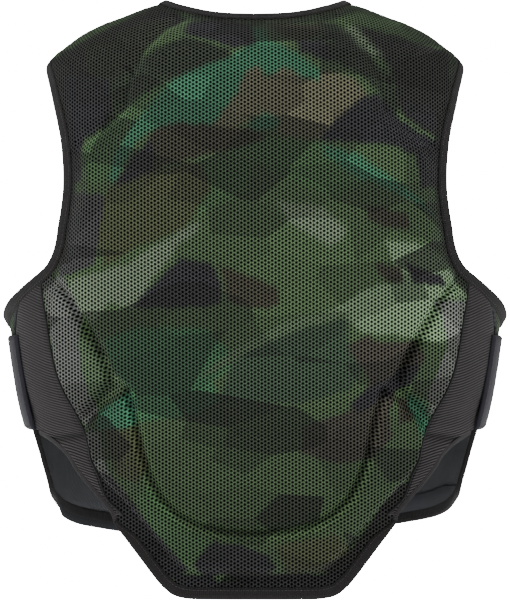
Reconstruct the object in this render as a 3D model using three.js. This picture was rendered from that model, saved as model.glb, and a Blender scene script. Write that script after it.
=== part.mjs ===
// A protective sports vest in its worn shape: a padded mesh back with a pointed tail, ribbed elastic
// side wings that close over two front panels with flat tabs, a front zip and bound edges.
// Units are millimetres and +Z is up. The back faces -Y and the wearer's right is +X.
// The origin is the centre of the neck opening, level with the shoulder points that carry the vest.
import * as THREE from "three";

// Body form
const neckWidth = 162;
const shoulderWidth = 382;
const chestWidth = 452;
const waistWidth = 380;
const seatWidth = 368;
const shoulderDrop = 62;
const chestDrop = 285;
const waistDrop = 450;
const backLength = 540;
const backDepth = 134;
const frontDepth = 124;
const squareness = 2.3;

// Edges and openings
const backNeckDrop = 17.7;
const frontNeckDrop = 95;
const armholeTop = 57;
const armholeDrop = 289;
const sideSeamTop = 261;
const wingPoint = 474;
const frontCorner = 462;
const frontLength = 500;
const underarmFlare = 5;

// Fabrics and padding
const backWall = 4;
const frontWall = 3.5;
const wingWall = 2.6;
const bindingWall = 5.5;
const bindingProud = 1.2;
const padHeight = 9;
const flankHeight = 6.5;
const yokeHeight = 4;
const padRoll = 7;
const grooveWidth = 6;
const edgeTaper = 22;

// Bands, tabs and zip
const neckBinding = 8;
const armholeBinding = 11;
const hemBinding = 10;
const trimWidth = 4.5;
const trimProud = 0.7;
const pipingWidth = 1.6;
const pipingProud = 0.8;
const frontSideBinding = 5;
const frontHemBinding = 9;
const tabTop = 306;
const tabBottom = 392;
const tabReach = 126;
const tabWall = 3;
const tabStart = 0.956;
const tabNarrowing = 0.12;
const tabFlare = 2.4;
const tabGap = 0.6;
const zipWidth = 25;
const zipWall = 1.6;
const coilWidth = 6;
const coilProud = 1.4;

const gap = 0.4;
const smoothingRounds = 24;
const degree = Math.PI / 180;
const side = 90;
const frontCentre = 180;

// How many flat steps each stretch is drawn with. The inner faces take every second step.
const steps = {
  shoulder: 12,
  frontShoulder: 8,
  backNeck: 16,
  frontNeck: 10,
  backArmhole: 20,
  wingTop: 4,
  frontArmhole: 17,
  seam: 24,
  trim: 10,
  tail: 20,
  frontSide: 7,
  hem: 18,
  zip: 16,
  tabAcross: 14,
  tabDown: 4,
};

// Sections of the body form. down and out are shares of the zone's height and change of width,
// back and front are shares of the two depths.
const zones = {
  shoulder: { top: 0, bottom: shoulderDrop, topWidth: neckWidth, bottomWidth: shoulderWidth },
  chest: { top: shoulderDrop, bottom: chestDrop, topWidth: shoulderWidth, bottomWidth: chestWidth },
  waist: { top: chestDrop, bottom: waistDrop, topWidth: chestWidth, bottomWidth: waistWidth },
  seat: { top: waistDrop, bottom: backLength, topWidth: waistWidth, bottomWidth: seatWidth },
};
const bodyRows = [
  { zone: "shoulder", down: 0, out: 0, back: 0.43, front: 0.44 },
  { zone: "shoulder", down: 0.11, out: 0.14, back: 0.51, front: 0.5 },
  { zone: "shoulder", down: 0.26, out: 0.34, back: 0.59, front: 0.57 },
  { zone: "shoulder", down: 0.4, out: 0.55, back: 0.655, front: 0.63 },
  { zone: "shoulder", down: 0.56, out: 0.72, back: 0.71, front: 0.68 },
  { zone: "shoulder", down: 0.72, out: 0.84, back: 0.755, front: 0.72 },
  { zone: "shoulder", down: 0.87, out: 0.95, back: 0.79, front: 0.75 },
  { zone: "chest", down: 0, out: 0, back: 0.82, front: 0.775 },
  { zone: "chest", down: 0.17, out: 0.14, back: 0.925, front: 0.87 },
  { zone: "chest", down: 0.4, out: 0.24, back: 0.985, front: 0.95 },
  { zone: "chest", down: 0.62, out: 0.42, back: 1, front: 0.99 },
  { zone: "chest", down: 0.82, out: 0.7, back: 0.985, front: 1 },
  { zone: "waist", down: 0, out: 0, back: 0.96, front: 0.99 },
  { zone: "waist", down: 0.14, out: 0.06, back: 0.935, front: 0.97 },
  { zone: "waist", down: 0.43, out: 0.31, back: 0.87, front: 0.91 },
  { zone: "waist", down: 0.64, out: 0.56, back: 0.82, front: 0.87 },
  { zone: "waist", down: 0.85, out: 0.83, back: 0.785, front: 0.85 },
  { zone: "seat", down: 0, out: 0, back: 0.77, front: 0.83 },
  { zone: "seat", down: 0.33, out: 0.5, back: 0.765, front: 0.83 },
  { zone: "seat", down: 1, out: 1, back: 0.785, front: 0.83 },
];

// Edge curves. wide is a share of the form's half width at that height, down a share of the span
// that each curve is given below.
const backNeckRows = [
  { wide: 0, down: 1 },
  { wide: 0.225, down: 0.94 },
  { wide: 0.4, down: 0.78 },
  { wide: 0.63, down: 0.49 },
  { wide: 0.9, down: 0.13 },
  { wide: 1, down: 0 },
];
const frontNeckRows = [
  { wide: 0.816, down: 0.09 },
  { wide: 0.567, down: 0.235 },
  { wide: 0.4, down: 0.44 },
  { wide: 0.288, down: 0.665 },
  { wide: 0.197, down: 0.845 },
  { wide: 0.103, down: 0.96 },
  { wide: 0, down: 1 },
];
const backArmholeRows = [
  { wide: 1, down: 0 },
  { wide: 0.982, down: 0.06 },
  { wide: 0.937, down: 0.138 },
  { wide: 0.892, down: 0.247 },
  { wide: 0.863, down: 0.354 },
  { wide: 0.84, down: 0.513 },
  { wide: 0.843, down: 0.675 },
  { wide: 0.853, down: 0.741 },
  { wide: 0.873, down: 0.803 },
  { wide: 0.921, down: 0.859 },
  { wide: 0.972, down: 0.93 },
];
const frontArmholeRows = [
  { wide: 1, down: 1 },
  { wide: 0.965, down: 0.965 },
  { wide: 0.9, down: 0.88 },
  { wide: 0.845, down: 0.79 },
  { wide: 0.815, down: 0.68 },
  { wide: 0.808, down: 0.55 },
  { wide: 0.825, down: 0.4 },
  { wide: 0.865, down: 0.25 },
  { wide: 0.925, down: 0.12 },
  { wide: 0.98, down: 0.05 },
];
const seamRows = [
  { wide: 0.849, down: 0.06 },
  { wide: 0.832, down: 0.13 },
  { wide: 0.826, down: 0.24 },
  { wide: 0.819, down: 0.365 },
  { wide: 0.804, down: 0.44 },
  { wide: 0.775, down: 0.52 },
  { wide: 0.748, down: 0.6 },
  { wide: 0.742, down: 0.68 },
  { wide: 0.743, down: 0.74 },
  { wide: 0.725, down: 0.8 },
  { wide: 0.7, down: 0.9 },
];
const wingSideRows = [
  { wide: 0.968, down: 0.2 },
  { wide: 0.975, down: 0.35 },
  { wide: 0.978, down: 0.55 },
  { wide: 0.974, down: 0.8 },
  { wide: 0.965, down: 0.985 },
];
const trimRows = [
  { wide: 0.956, down: 0 },
  { wide: 0.905, down: 0.095 },
  { wide: 0.86, down: 0.22 },
  { wide: 0.832, down: 0.39 },
  { wide: 0.794, down: 0.56 },
  { wide: 0.752, down: 0.7 },
  { wide: 0.708, down: 0.835 },
  { wide: 0.684, down: 0.93 },
  { wide: 0.678, down: 1 },
];
const tailRows = [
  { wide: 0.564, down: 0.448 },
  { wide: 0.471, down: 0.79 },
  { wide: 0.44, down: 0.88 },
  { wide: 0.392, down: 0.955 },
  { wide: 0.33, down: 0.992 },
  { wide: 0.18, down: 1 },
  { wide: 0, down: 1 },
];
const frontSideRows = [
  { turn: 80.5, down: 0.12 },
  { turn: 83.5, down: 0.21 },
  { turn: 85.5, down: 0.35 },
  { turn: 88, down: 0.52 },
  { turn: 90, down: 0.67 },
  { turn: 90.5, down: 0.86 },
  { turn: 92, down: 0.95 },
];
const frontHemRows = [
  { turn: 96.6, down: 0 },
  { turn: 100.8, down: 0.22 },
  { turn: 106.8, down: 0.4 },
  { turn: 114.7, down: 0.54 },
  { turn: 128, down: 0.72 },
  { turn: 150, down: 0.92 },
  { turn: 180, down: 1 },
];

// Padding of the back. wide is a share of the half width and down a share of the back length.
const bodyPadRows = [
  { wide: 0, down: 0 },
  { wide: 0.2, down: 0 },
  { wide: 0.51, down: 0.057 },
  { wide: 0.54, down: 0.095 },
  { wide: 0.575, down: 0.146 },
  { wide: 0.585, down: 0.192 },
  { wide: 0.682, down: 0.228 },
  { wide: 0.9, down: 0.27 },
  { wide: 1, down: 0.4 },
  { wide: 0.86, down: 0.455 },
  { wide: 0.711, down: 0.508 },
  { wide: 0.627, down: 0.563 },
  { wide: 0.575, down: 0.614 },
  { wide: 0.53, down: 0.65 },
  { wide: 0.676, down: 0.702 },
  { wide: 0.744, down: 0.724 },
  { wide: 0.745, down: 0.745 },
  { wide: 0.737, down: 0.771 },
  { wide: 0.694, down: 0.804 },
  { wide: 0.614, down: 0.84 },
  { wide: 0.504, down: 0.886 },
  { wide: 0.409, down: 0.93 },
  { wide: 0.34, down: 0.954 },
  { wide: 0.27, down: 0.963 },
  { wide: 0, down: 0.965 },
];
const flankPadRows = [
  { wide: 0.88, down: 0.475 },
  { wide: 0.79, down: 0.476 },
  { wide: 0.745, down: 0.487 },
  { wide: 0.725, down: 0.508 },
  { wide: 0.67, down: 0.54 },
  { wide: 0.61, down: 0.58 },
  { wide: 0.575, down: 0.61 },
  { wide: 0.57, down: 0.635 },
  { wide: 0.61, down: 0.657 },
  { wide: 0.7, down: 0.693 },
  { wide: 0.76, down: 0.705 },
  { wide: 0.88, down: 0.65 },
];
const yokePadRows = [
  { wide: 0.62, down: 0 },
  { wide: 0.5, down: 0.05 },
  { wide: 0.53, down: 0.095 },
  { wide: 0.56, down: 0.146 },
  { wide: 0.575, down: 0.192 },
  { wide: 0.67, down: 0.226 },
  { wide: 0.76, down: 0.25 },
  { wide: 1.2, down: 0.24 },
  { wide: 1.2, down: 0 },
];
const grooveRows = [
  { wide: 0.505, down: 0.645 },
  { wide: 0.508, down: 0.665 },
  { wide: 0.502, down: 0.69 },
  { wide: 0.496, down: 0.72 },
  { wide: 0.492, down: 0.755 },
  { wide: 0.472, down: 0.797 },
  { wide: 0.432, down: 0.834 },
  { wide: 0.356, down: 0.862 },
  { wide: 0.263, down: 0.88 },
  { wide: 0.144, down: 0.89 },
  { wide: 0, down: 0.894 },
];

const meshFabric = { color: 0x3a4434, roughness: 0.9, metalness: 0 };
const elastic = { color: 0x211f21, roughness: 0.85, metalness: 0 };
const bindingTape = { color: 0x1b191a, roughness: 0.9, metalness: 0 };
const tabFabric = { color: 0x2b2a31, roughness: 0.6, metalness: 0 };
const zipTape = { color: 0x17161a, roughness: 0.5, metalness: 0 };

const clamp = (value, low, high) => Math.min(Math.max(value, low), high);
const blend = (from, to, share) => from + (to - from) * share;

// A smooth curve through the knots that never overshoots them.
function monotoneCurve(knots, values) {
  const slopes = knots.slice(1).map((x, i) => (values[i + 1] - values[i]) / (x - knots[i]));
  const tangents = values.map((_, i) => {
    if (i === 0) return slopes[0];
    if (i === slopes.length) return slopes[i - 1];
    const product = slopes[i - 1] * slopes[i];
    return product <= 0 ? 0 : (2 * product) / (slopes[i - 1] + slopes[i]);
  });
  return (x) => {
    let i = 0;
    while (i < knots.length - 2 && x > knots[i + 1]) i++;
    const span = knots[i + 1] - knots[i];
    const t = clamp((x - knots[i]) / span, 0, 1);
    const rise = t * t * (3 - 2 * t);
    const bend = tangents[i] * t * (1 - t) * (1 - t) - tangents[i + 1] * t * t * (1 - t);
    return blend(values[i], values[i + 1], rise) + bend * span;
  };
}

const sections = bodyRows.map((row) => {
  const zone = zones[row.zone];
  return {
    down: blend(zone.top, zone.bottom, row.down),
    half: blend(zone.topWidth, zone.bottomWidth, row.out) / 2,
    back: row.back * backDepth,
    front: row.front * frontDepth,
  };
});
const sectionDowns = sections.map((section) => section.down);
const sectionCurve = (key) => monotoneCurve(sectionDowns, sections.map((section) => section[key]));
const halfAt = sectionCurve("half");
const backAt = sectionCurve("back");
const frontAt = sectionCurve("front");

// A spot on the form is a turn in degrees, from the back centre round to the wearer's right,
// and a distance down from the shoulder points.
function formPoint({ turn, down }) {
  const sine = Math.sin(turn * degree);
  const cosine = Math.cos(turn * degree);
  const deep = cosine > 0 ? backAt(down) : frontAt(down);
  const across = Math.abs(sine / halfAt(down)) ** squareness;
  const along = Math.abs(cosine / deep) ** squareness;
  const reach = (across + along) ** (-1 / squareness);
  return new THREE.Vector3(reach * sine, -reach * cosine, -down);
}

function formSlopes({ turn, down }) {
  const step = 0.05;
  const slope = (a, b) => formPoint(a).sub(formPoint(b)).divideScalar(2 * step);
  const byTurn = slope({ turn: turn + step, down }, { turn: turn - step, down });
  const byDown = slope({ turn, down: down + step }, { turn, down: down - step });
  return { byTurn, byDown };
}

function formNormal(spot) {
  const { byTurn, byDown } = formSlopes(spot);
  return byDown.cross(byTurn).normalize();
}

const raised = (spot, height) => formPoint(spot).addScaledVector(formNormal(spot), height);

// The spot nearest to a point in space, found from a spot close to it.
function locate(point, guess, rounds = 6) {
  let { turn, down } = guess;
  for (let round = 0; round < rounds; round++) {
    const { byTurn, byDown } = formSlopes({ turn, down });
    const miss = point.clone().sub(formPoint({ turn, down }));
    const tt = byTurn.dot(byTurn);
    const td = byTurn.dot(byDown);
    const dd = byDown.dot(byDown);
    const scale = tt * dd - td * td;
    turn += (dd * miss.dot(byTurn) - td * miss.dot(byDown)) / scale;
    down += (tt * miss.dot(byDown) - td * miss.dot(byTurn)) / scale;
    down = Math.max(down, 0);
  }
  return { turn, down };
}

// The spot at a share of the half width, on the back or on the front.
function spotAt(wide, down, onFront = false) {
  const deep = onFront ? frontAt(down) : backAt(down);
  const inside = 1 - Math.min(wide, 1) ** squareness;
  const turn = Math.atan2(wide * halfAt(down), deep * inside ** (1 / squareness)) / degree;
  return { turn: onFront ? frontCentre - turn : turn, down };
}

const rowsToSpots = (rows, top, bottom, onFront) =>
  rows.map((row) => {
    const down = blend(top, bottom, row.down);
    return row.turn === undefined ? spotAt(row.wide, down, onFront) : { turn: row.turn, down };
  });

// A dense smooth line of spots through the given ones.
function smoothLine(spots, density = 24) {
  const points = spots.map((spot) => new THREE.Vector3(spot.turn, spot.down, 0));
  const curve = new THREE.CatmullRomCurve3(points, false, "centripetal");
  const dense = curve.getPoints(density * (spots.length - 1));
  return dense.map(({ x, y }) => ({ turn: x, down: Math.max(y, 0) }));
}

// The same line in a number of equal steps, measured on the form.
function evenSteps(line, count) {
  const points = line.map(formPoint);
  const lengths = [0];
  for (let i = 1; i < points.length; i++) {
    lengths.push(lengths[i - 1] + points[i].distanceTo(points[i - 1]));
  }
  const total = lengths[lengths.length - 1];
  const result = [];
  let at = 0;
  for (let i = 0; i <= count; i++) {
    const wanted = (total * i) / count;
    while (at < lengths.length - 2 && lengths[at + 1] < wanted) at++;
    const share = clamp((wanted - lengths[at]) / (lengths[at + 1] - lengths[at]), 0, 1);
    const [from, to] = [line[at], line[at + 1]];
    result.push({ turn: blend(from.turn, to.turn, share), down: blend(from.down, to.down, share) });
  }
  return result;
}

// A line moved sideways on the form, to the side of direction x normal. distance may vary along it.
function inset(line, distance, closed = false) {
  const points = line.map(formPoint);
  const last = line.length - 1;
  return line.map((spot, i) => {
    const before = closed ? points[(i + last) % (last + 1)] : points[Math.max(i - 1, 0)];
    const after = closed ? points[(i + 1) % (last + 1)] : points[Math.min(i + 1, last)];
    const sideways = after.clone().sub(before).cross(formNormal(spot)).normalize();
    const width = typeof distance === "function" ? distance(i / last) : distance;
    return locate(points[i].clone().addScaledVector(sideways, width), spot);
  });
}

const mirrorSpot = ({ turn, down }) => ({ turn: -turn, down });

const zipTurn = (down, reach) => frontCentre - Math.atan2(reach, frontAt(down)) / degree;
const zipSide = zipWidth / 2 + gap;

// Ends a line squarely beside the zip.
function endAtZip(line) {
  const { down } = line[line.length - 1];
  return [...line.slice(0, -1), { turn: zipTurn(down, zipSide), down }];
}

// Edge lines of the right half
const neckSpots = [
  ...rowsToSpots(backNeckRows, 0, backNeckDrop),
  ...rowsToSpots(frontNeckRows, 0, frontNeckDrop, true),
];
const neckLine = smoothLine(neckSpots);
const atShoulder = neckLine.findIndex((spot) => spot.turn >= side);
const atZip = neckLine.findIndex((spot) => spot.turn >= zipTurn(spot.down, zipSide));
const backNeckEdge = evenSteps(neckLine.slice(0, atShoulder + 1), steps.backNeck / 2);
const frontNeckEdge = endAtZip(evenSteps(neckLine.slice(atShoulder, atZip + 1), steps.frontNeck));
const neckEdge = [...backNeckEdge, ...frontNeckEdge.slice(1)];
const neckInner = endAtZip(inset(neckEdge, neckBinding + gap));

const armholeSpots = [
  ...rowsToSpots(backArmholeRows, armholeTop, armholeDrop),
  ...rowsToSpots(frontArmholeRows, armholeTop, armholeDrop, true),
  spotAt(1, armholeTop),
];
const armholeLine = smoothLine(armholeSpots);
const bindingInner = armholeBinding + gap;
const atSeam = armholeLine.findIndex((spot) => spot.down >= sideSeamTop - armholeBinding);
const wingTopTurn = 77.5;
const atWing = armholeLine.findIndex((spot, i) => i > atSeam && spot.turn >= wingTopTurn);
const armholeEdge = [
  ...evenSteps(armholeLine.slice(0, atSeam + 1), steps.backArmhole).slice(0, -1),
  ...evenSteps(armholeLine.slice(atSeam, atWing + 1), steps.wingTop).slice(0, -1),
  ...evenSteps(armholeLine.slice(atWing), steps.frontArmhole).slice(0, -1),
];
const seamIndex = steps.backArmhole;
const wingIndex = seamIndex + steps.wingTop;
const armholeInner = inset(armholeEdge, bindingInner, true);

const lowerEdgeSpots = [
  ...rowsToSpots(trimRows, tabBottom + trimWidth, wingPoint),
  ...rowsToSpots(tailRows, wingPoint, backLength),
];
const lowerLine = smoothLine(lowerEdgeSpots);
const atPoint = lowerLine.findIndex((spot) => spot.down >= wingPoint);
const trimEdge = evenSteps(lowerLine.slice(0, atPoint - 5), steps.trim);
const tailEdge = evenSteps(lowerLine.slice(atPoint), steps.tail);
const tailInner = inset(tailEdge, hemBinding + gap);
const trimInner = inset(trimEdge, trimWidth + gap);

const seamFoot = inset(tailEdge, hemBinding + 3 * gap)[0];
const seamLine = smoothLine([
  armholeInner[seamIndex],
  ...rowsToSpots(seamRows, sideSeamTop, wingPoint),
  { turn: seamFoot.turn, down: seamFoot.down - pipingWidth },
]);
const seamEdge = evenSteps(seamLine, steps.seam);
const pipingEdge = [...seamEdge.slice(0, -1), evenSteps(seamEdge.slice(-2), 3)[1]];

const wingSideLine = smoothLine([
  armholeInner[wingIndex],
  ...rowsToSpots(wingSideRows, chestDrop, tabBottom),
]);

const besideWing = evenSteps(armholeInner.slice(wingIndex, wingIndex + 2), 5)[1];
const frontEdgeLine = smoothLine([
  besideWing,
  ...rowsToSpots(frontSideRows, chestDrop, frontCorner),
  ...rowsToSpots(frontHemRows, frontCorner, frontLength),
]);
const atCorner = frontEdgeLine.findIndex((spot) => spot.down >= frontCorner);
const atZipFoot = frontEdgeLine.findIndex((spot) => spot.turn >= zipTurn(spot.down, zipSide));
const frontSideEdge = evenSteps(frontEdgeLine.slice(0, atCorner + 1), steps.frontSide);
const frontHemEdge = endAtZip(evenSteps(frontEdgeLine.slice(atCorner, atZipFoot + 1), steps.hem));
const frontEdge = [...frontSideEdge, ...frontHemEdge.slice(1)];
const cornerShare = steps.frontSide / (steps.frontSide + steps.hem);
const frontBindingWidth = (share) =>
  blend(frontSideBinding, frontHemBinding, clamp((share - cornerShare) / cornerShare + 0.5, 0, 1));

// The shoulder line runs along the side of the form, from the armhole binding to the neck binding.
function shoulderLine(turn, count = steps.shoulder) {
  const tip = locate(formPoint(armholeInner[0]), { turn, down: armholeInner[0].down });
  const neck = neckInner[backNeckEdge.length - 1];
  return evenSteps(smoothLine([tip, neck].map(({ down }) => ({ turn, down }))), count);
}

// A grid of spots between four lines. left and right run from the bottom line to the top line.
// It is blended in space first, then evened out on the form in a few rounds.
function patch(bottom, top, left, right, rounds = smoothingRounds) {
  const columns = bottom.length - 1;
  const rows = left.length - 1;
  const [low, high, start, end] = [bottom, top, left, right].map((line) => line.map(formPoint));
  const between = (from, to, share) => from.clone().lerp(to, share);
  const blended = (r, c) => {
    const across = between(start[r], end[r], c / columns);
    const along = between(low[c], high[c], r / rows);
    const foot = between(low[0], low[columns], c / columns);
    const head = between(high[0], high[columns], c / columns);
    return across.add(along).sub(foot.lerp(head, r / rows));
  };
  const mapInside = (grid, change) =>
    grid.map((row, r) =>
      row.map((item, c) => (r % rows === 0 || c % columns === 0 ? item : change(r, c))),
    );
  const outline = left.map((_, r) =>
    bottom.map((__, c) => {
      if (r === 0) return bottom[c];
      if (r === rows) return top[c];
      return c < columns ? left[r] : right[r];
    }),
  );
  let spots = mapInside(outline, (r, c) => {
    const { x, y, z } = blended(r, c);
    return { turn: Math.atan2(x, -y) / degree, down: Math.max(-z, 0) };
  });
  for (let round = 0; round < rounds; round++) {
    const points = spots.map((row) => row.map(formPoint));
    spots = mapInside(spots, (r, c) => {
      const middle = points[r - 1][c].clone().add(points[r + 1][c]);
      middle.add(points[r][c - 1]).add(points[r][c + 1]).divideScalar(4);
      return locate(middle, spots[r][c], 2);
    });
  }
  return spots;
}

// One closed mesh from points and triangles, turned to face outwards.
function solid(name, finish, points, triangles) {
  const volume = triangles.reduce((sum, [a, b, c]) => {
    return sum + points[a].dot(points[b].clone().cross(points[c]));
  }, 0);
  const faces = volume < 0 ? triangles.map(([a, b, c]) => [a, c, b]) : triangles;
  const geometry = new THREE.BufferGeometry().setFromPoints(points);
  geometry.setIndex(faces.flat());
  geometry.computeVertexNormals();
  const mesh = new THREE.Mesh(geometry, new THREE.MeshStandardMaterial(finish));
  mesh.name = name;
  return mesh;
}

const isEven = (_, index) => index % 2 === 0;
const always = (value) => () => value;

// The outline of a grid as one loop of indices into its points.
function rimOf(grid, first) {
  const rows = grid.length - 1;
  const columns = grid[0].length - 1;
  const index = (r, c) => first + r * (columns + 1) + c;
  const loop = [];
  for (let c = 0; c < columns; c++) loop.push(index(0, c));
  for (let r = 0; r < rows; r++) loop.push(index(r, columns));
  for (let c = columns; c > 0; c--) loop.push(index(rows, c));
  for (let r = rows; r > 0; r--) loop.push(index(r, 0));
  return loop;
}

// The left half is a true mirror image of the right one, so its squares are cut the other way.
const onLeft = (spot, next) => spot.turn + next.turn < 0;

function gridTriangles(grid, first, flipped) {
  const columns = grid[0].length;
  const triangles = [];
  for (let r = 0; r < grid.length - 1; r++) {
    for (let c = 0; c < columns - 1; c++) {
      const a = first + r * columns + c;
      const [b, d] = [a + 1, a + columns];
      if (onLeft(grid[r][c], grid[r][c + 1])) triangles.push([a, b, d + 1], [a, d + 1, d]);
      else triangles.push([a, b, d], [b, d + 1, d]);
    }
  }
  return flipped ? triangles.map(([a, b, c]) => [a, c, b]) : triangles;
}

// Splits the triangles of a coarse face where its outline has extra points between the corners.
function withRimPoints(triangles, middles) {
  return triangles.reduce((result, triangle) => {
    let rest = [triangle];
    for (let j = 0; j < 3; j++) {
      const [a, b] = [triangle[j], triangle[(j + 1) % 3]];
      const middle = middles.get(`${a} ${b}`) ?? middles.get(`${b} ${a}`);
      if (middle === undefined) continue;
      rest = rest.flatMap((t) => {
        const k = t.findIndex((corner, i) => corner === a && t[(i + 1) % 3] === b);
        if (k < 0) return [t];
        const c = t[(k + 2) % 3];
        return [[a, middle, c], [middle, b, c]];
      });
    }
    return [...result, ...rest];
  }, []);
}

// A cloth wall on the form. The inside of its inner face takes every second spot, unless it is
// told to be as fine as the outer face.
function clothWall(name, finish, grid, outer, inner, fineInside = false) {
  const keep = fineInside ? () => true : isEven;
  const coarse = grid.filter(keep).map((row) => row.filter(keep));
  const points = grid.flat().map((spot) => raised(spot, outer(spot)));
  const first = points.length;
  points.push(...coarse.flat().map((spot) => raised(spot, inner(spot))));
  const outerRim = rimOf(grid, 0);
  const coarseRim = rimOf(coarse, first);
  const middles = new Map();
  const innerRim = outerRim.map((index, j) => {
    if (fineInside) return coarseRim[j];
    if (j % 2 === 0) return coarseRim[j / 2];
    const spot = grid.flat()[index];
    points.push(raised(spot, inner(spot)));
    const [a, b] = [coarseRim[(j - 1) / 2], coarseRim[((j + 1) / 2) % coarseRim.length]];
    middles.set(`${a} ${b}`, points.length - 1);
    return points.length - 1;
  });
  const triangles = gridTriangles(grid, 0, false);
  triangles.push(...withRimPoints(gridTriangles(coarse, first, true), middles));
  outerRim.forEach((p0, j) => {
    const next = (j + 1) % outerRim.length;
    const [p1, i0, i1] = [outerRim[next], innerRim[j], innerRim[next]];
    if (onLeft(grid.flat()[p0], grid.flat()[p1])) triangles.push([p1, p0, i1], [p0, i0, i1]);
    else triangles.push([p1, p0, i0], [p1, i0, i1]);
  });
  return solid(name, finish, points, triangles);
}

// A band between two lines, from one height above the form to another. lift moves it all outwards.
function band(name, finish, edge, inner, low, high, { closed = false, lift = always(0) } = {}) {
  const points = edge.flatMap((spot, i) => [
    raised(spot, low + lift(spot)),
    raised(spot, high + lift(spot)),
    raised(inner[i], high + lift(inner[i])),
    raised(inner[i], low + lift(inner[i])),
  ]);
  const sides = 4;
  const rings = edge.length;
  const triangles = [];
  for (let i = 0; i < (closed ? rings : rings - 1); i++) {
    const next = (i + 1) % rings;
    for (let j = 0; j < sides; j++) {
      const k = (j + 1) % sides;
      const [a, b] = [i * sides + j, i * sides + k];
      const [c, d] = [next * sides + k, next * sides + j];
      if (onLeft(edge[i], edge[next])) triangles.push([a, b, d], [b, c, d]);
      else triangles.push([a, b, c], [a, c, d]);
    }
  }
  if (!closed) {
    const end = (rings - 1) * sides;
    triangles.push([0, 2, 1], [0, 3, 2], [end, end + 1, end + 2], [end, end + 2, end + 3]);
  }
  return solid(name, finish, points, triangles);
}

// Distance along the form from the back centre line, at one height.
function arcOf({ turn, down }) {
  const parts = 16;
  let length = 0;
  let before = formPoint({ turn: 0, down });
  for (let i = 1; i <= parts; i++) {
    const next = formPoint({ turn: (turn * i) / parts, down });
    length += next.distanceTo(before);
    before = next;
  }
  return length;
}

const flatSpot = (spot) => new THREE.Vector2(arcOf({ ...spot, turn: Math.abs(spot.turn) }), spot.down);
const flatRows = (rows) =>
  rows.map((row) => {
    const down = row.down * backLength;
    const flat = flatSpot(spotAt(Math.min(row.wide, 1), down));
    if (row.wide > 1) flat.x *= row.wide;
    return flat;
  });

function distanceToLine(point, line, closed) {
  let best = Infinity;
  for (let i = 0; i < (closed ? line.length : line.length - 1); i++) {
    const from = line[i];
    const along = line[(i + 1) % line.length].clone().sub(from);
    const share = clamp(point.clone().sub(from).dot(along) / (along.lengthSq() || 1), 0, 1);
    best = Math.min(best, point.distanceTo(from.clone().addScaledVector(along, share)));
  }
  return best;
}

function isInside(point, outline) {
  let inside = false;
  outline.forEach((a, i) => {
    const b = outline[(i + 1) % outline.length];
    const crosses = a.y > point.y !== b.y > point.y;
    if (crosses && point.x < a.x + ((b.x - a.x) * (point.y - a.y)) / (b.y - a.y)) inside = !inside;
  });
  return inside;
}

// How far inside an outline a point lies, as a rounded 0 to 1 over the given width.
function roll(point, outline, width, closed = true) {
  if (closed && !isInside(point, outline)) return 0;
  const share = clamp(distanceToLine(point, outline, closed) / width, 0, 1);
  return Math.sqrt(1 - (1 - share) ** 2);
}

const ease = (share) => share * share * (3 - 2 * share);

// The two halves share one outline, so a pad that crosses the centre line has no edge there.
const acrossCentre = (line) => [...line, ...line.map((p) => new THREE.Vector2(-p.x, p.y)).reverse()];

const bodyPad = acrossCentre(flatRows(bodyPadRows));
const flankPad = flatRows(flankPadRows);
const yokePad = flatRows(yokePadRows);
const groove = flatRows(grooveRows);
const upperOutline = [
  ...neckInner.slice(0, backNeckEdge.length),
  ...shoulderLine(side).reverse(),
  ...armholeInner.slice(0, seamIndex + 1),
].map(flatSpot);
const yokeLine = flatRows(bodyPadRows.slice(2, 7));
const sideOutline = [...seamEdge, ...tailInner].map(flatSpot);

// Height of the padding under the mesh at a spot of the back
function backRelief(spot) {
  const point = flatSpot(spot);
  const upper = Math.min(distanceToLine(point, upperOutline), distanceToLine(point, yokeLine));
  const taper = ease(clamp(upper / edgeTaper, 0, 1));
  const hollow = clamp(1 - distanceToLine(point, groove) / grooveWidth, 0, 1);
  const body = padHeight * roll(point, bodyPad, padRoll) * taper * (1 - 0.6 * ease(hollow));
  const flank = flankHeight * roll(point, flankPad, padRoll);
  const yoke = yokeHeight * roll(point, yokePad, padRoll);
  const rim = ease(clamp(distanceToLine(point, sideOutline) / padRoll, 0, 1));
  const upperRim = ease(clamp(distanceToLine(point, upperOutline) / padRoll, 0, 1));
  return Math.max(body, flank, yoke) * rim * upperRim;
}

// Padded back
const shoulderGap = 0.12;
const pipingSide = pipingWidth / 2 + 1.3 * gap;
const bothWays = (line) => [...line.slice(1).reverse().map(mirrorSpot), ...line];

function paddedBack() {
  const shoulder = shoulderLine(side - shoulderGap).reverse();
  const neck = neckInner.slice(0, backNeckEdge.length);
  const top = [...neck.slice(0, -1), ...shoulder];
  const right = [...armholeInner.slice(0, seamIndex), ...inset(seamEdge, pipingSide)];
  const bottom = tailInner.slice().reverse();
  right[0] = top[top.length - 1];
  bottom[bottom.length - 1] = right[right.length - 1];
  const left = right.map(mirrorSpot);
  const grid = patch(bothWays(bottom), bothWays(top), left.reverse(), right.slice().reverse());
  return clothWall("back_panel", meshFabric, grid, backRelief, always(-backWall));
}

// Ribbed wing between the side seam of the back and the tab
function ribbedWing(name, place) {
  const inner = inset(seamEdge, -pipingSide);
  const sideEdge = evenSteps(wingSideLine, steps.seam - steps.trim - 1);
  const outer = [...sideEdge, ...trimInner];
  const top = armholeInner.slice(seamIndex, wingIndex + 1);
  top[0] = inner[0];
  const foot = evenSteps([inner[steps.seam], outer[steps.seam]], steps.wingTop);
  const grid = patch(foot, top, inner.slice().reverse(), outer.slice().reverse());
  return clothWall(name, elastic, grid.map(place), always(0), always(-wingWall));
}

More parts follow.
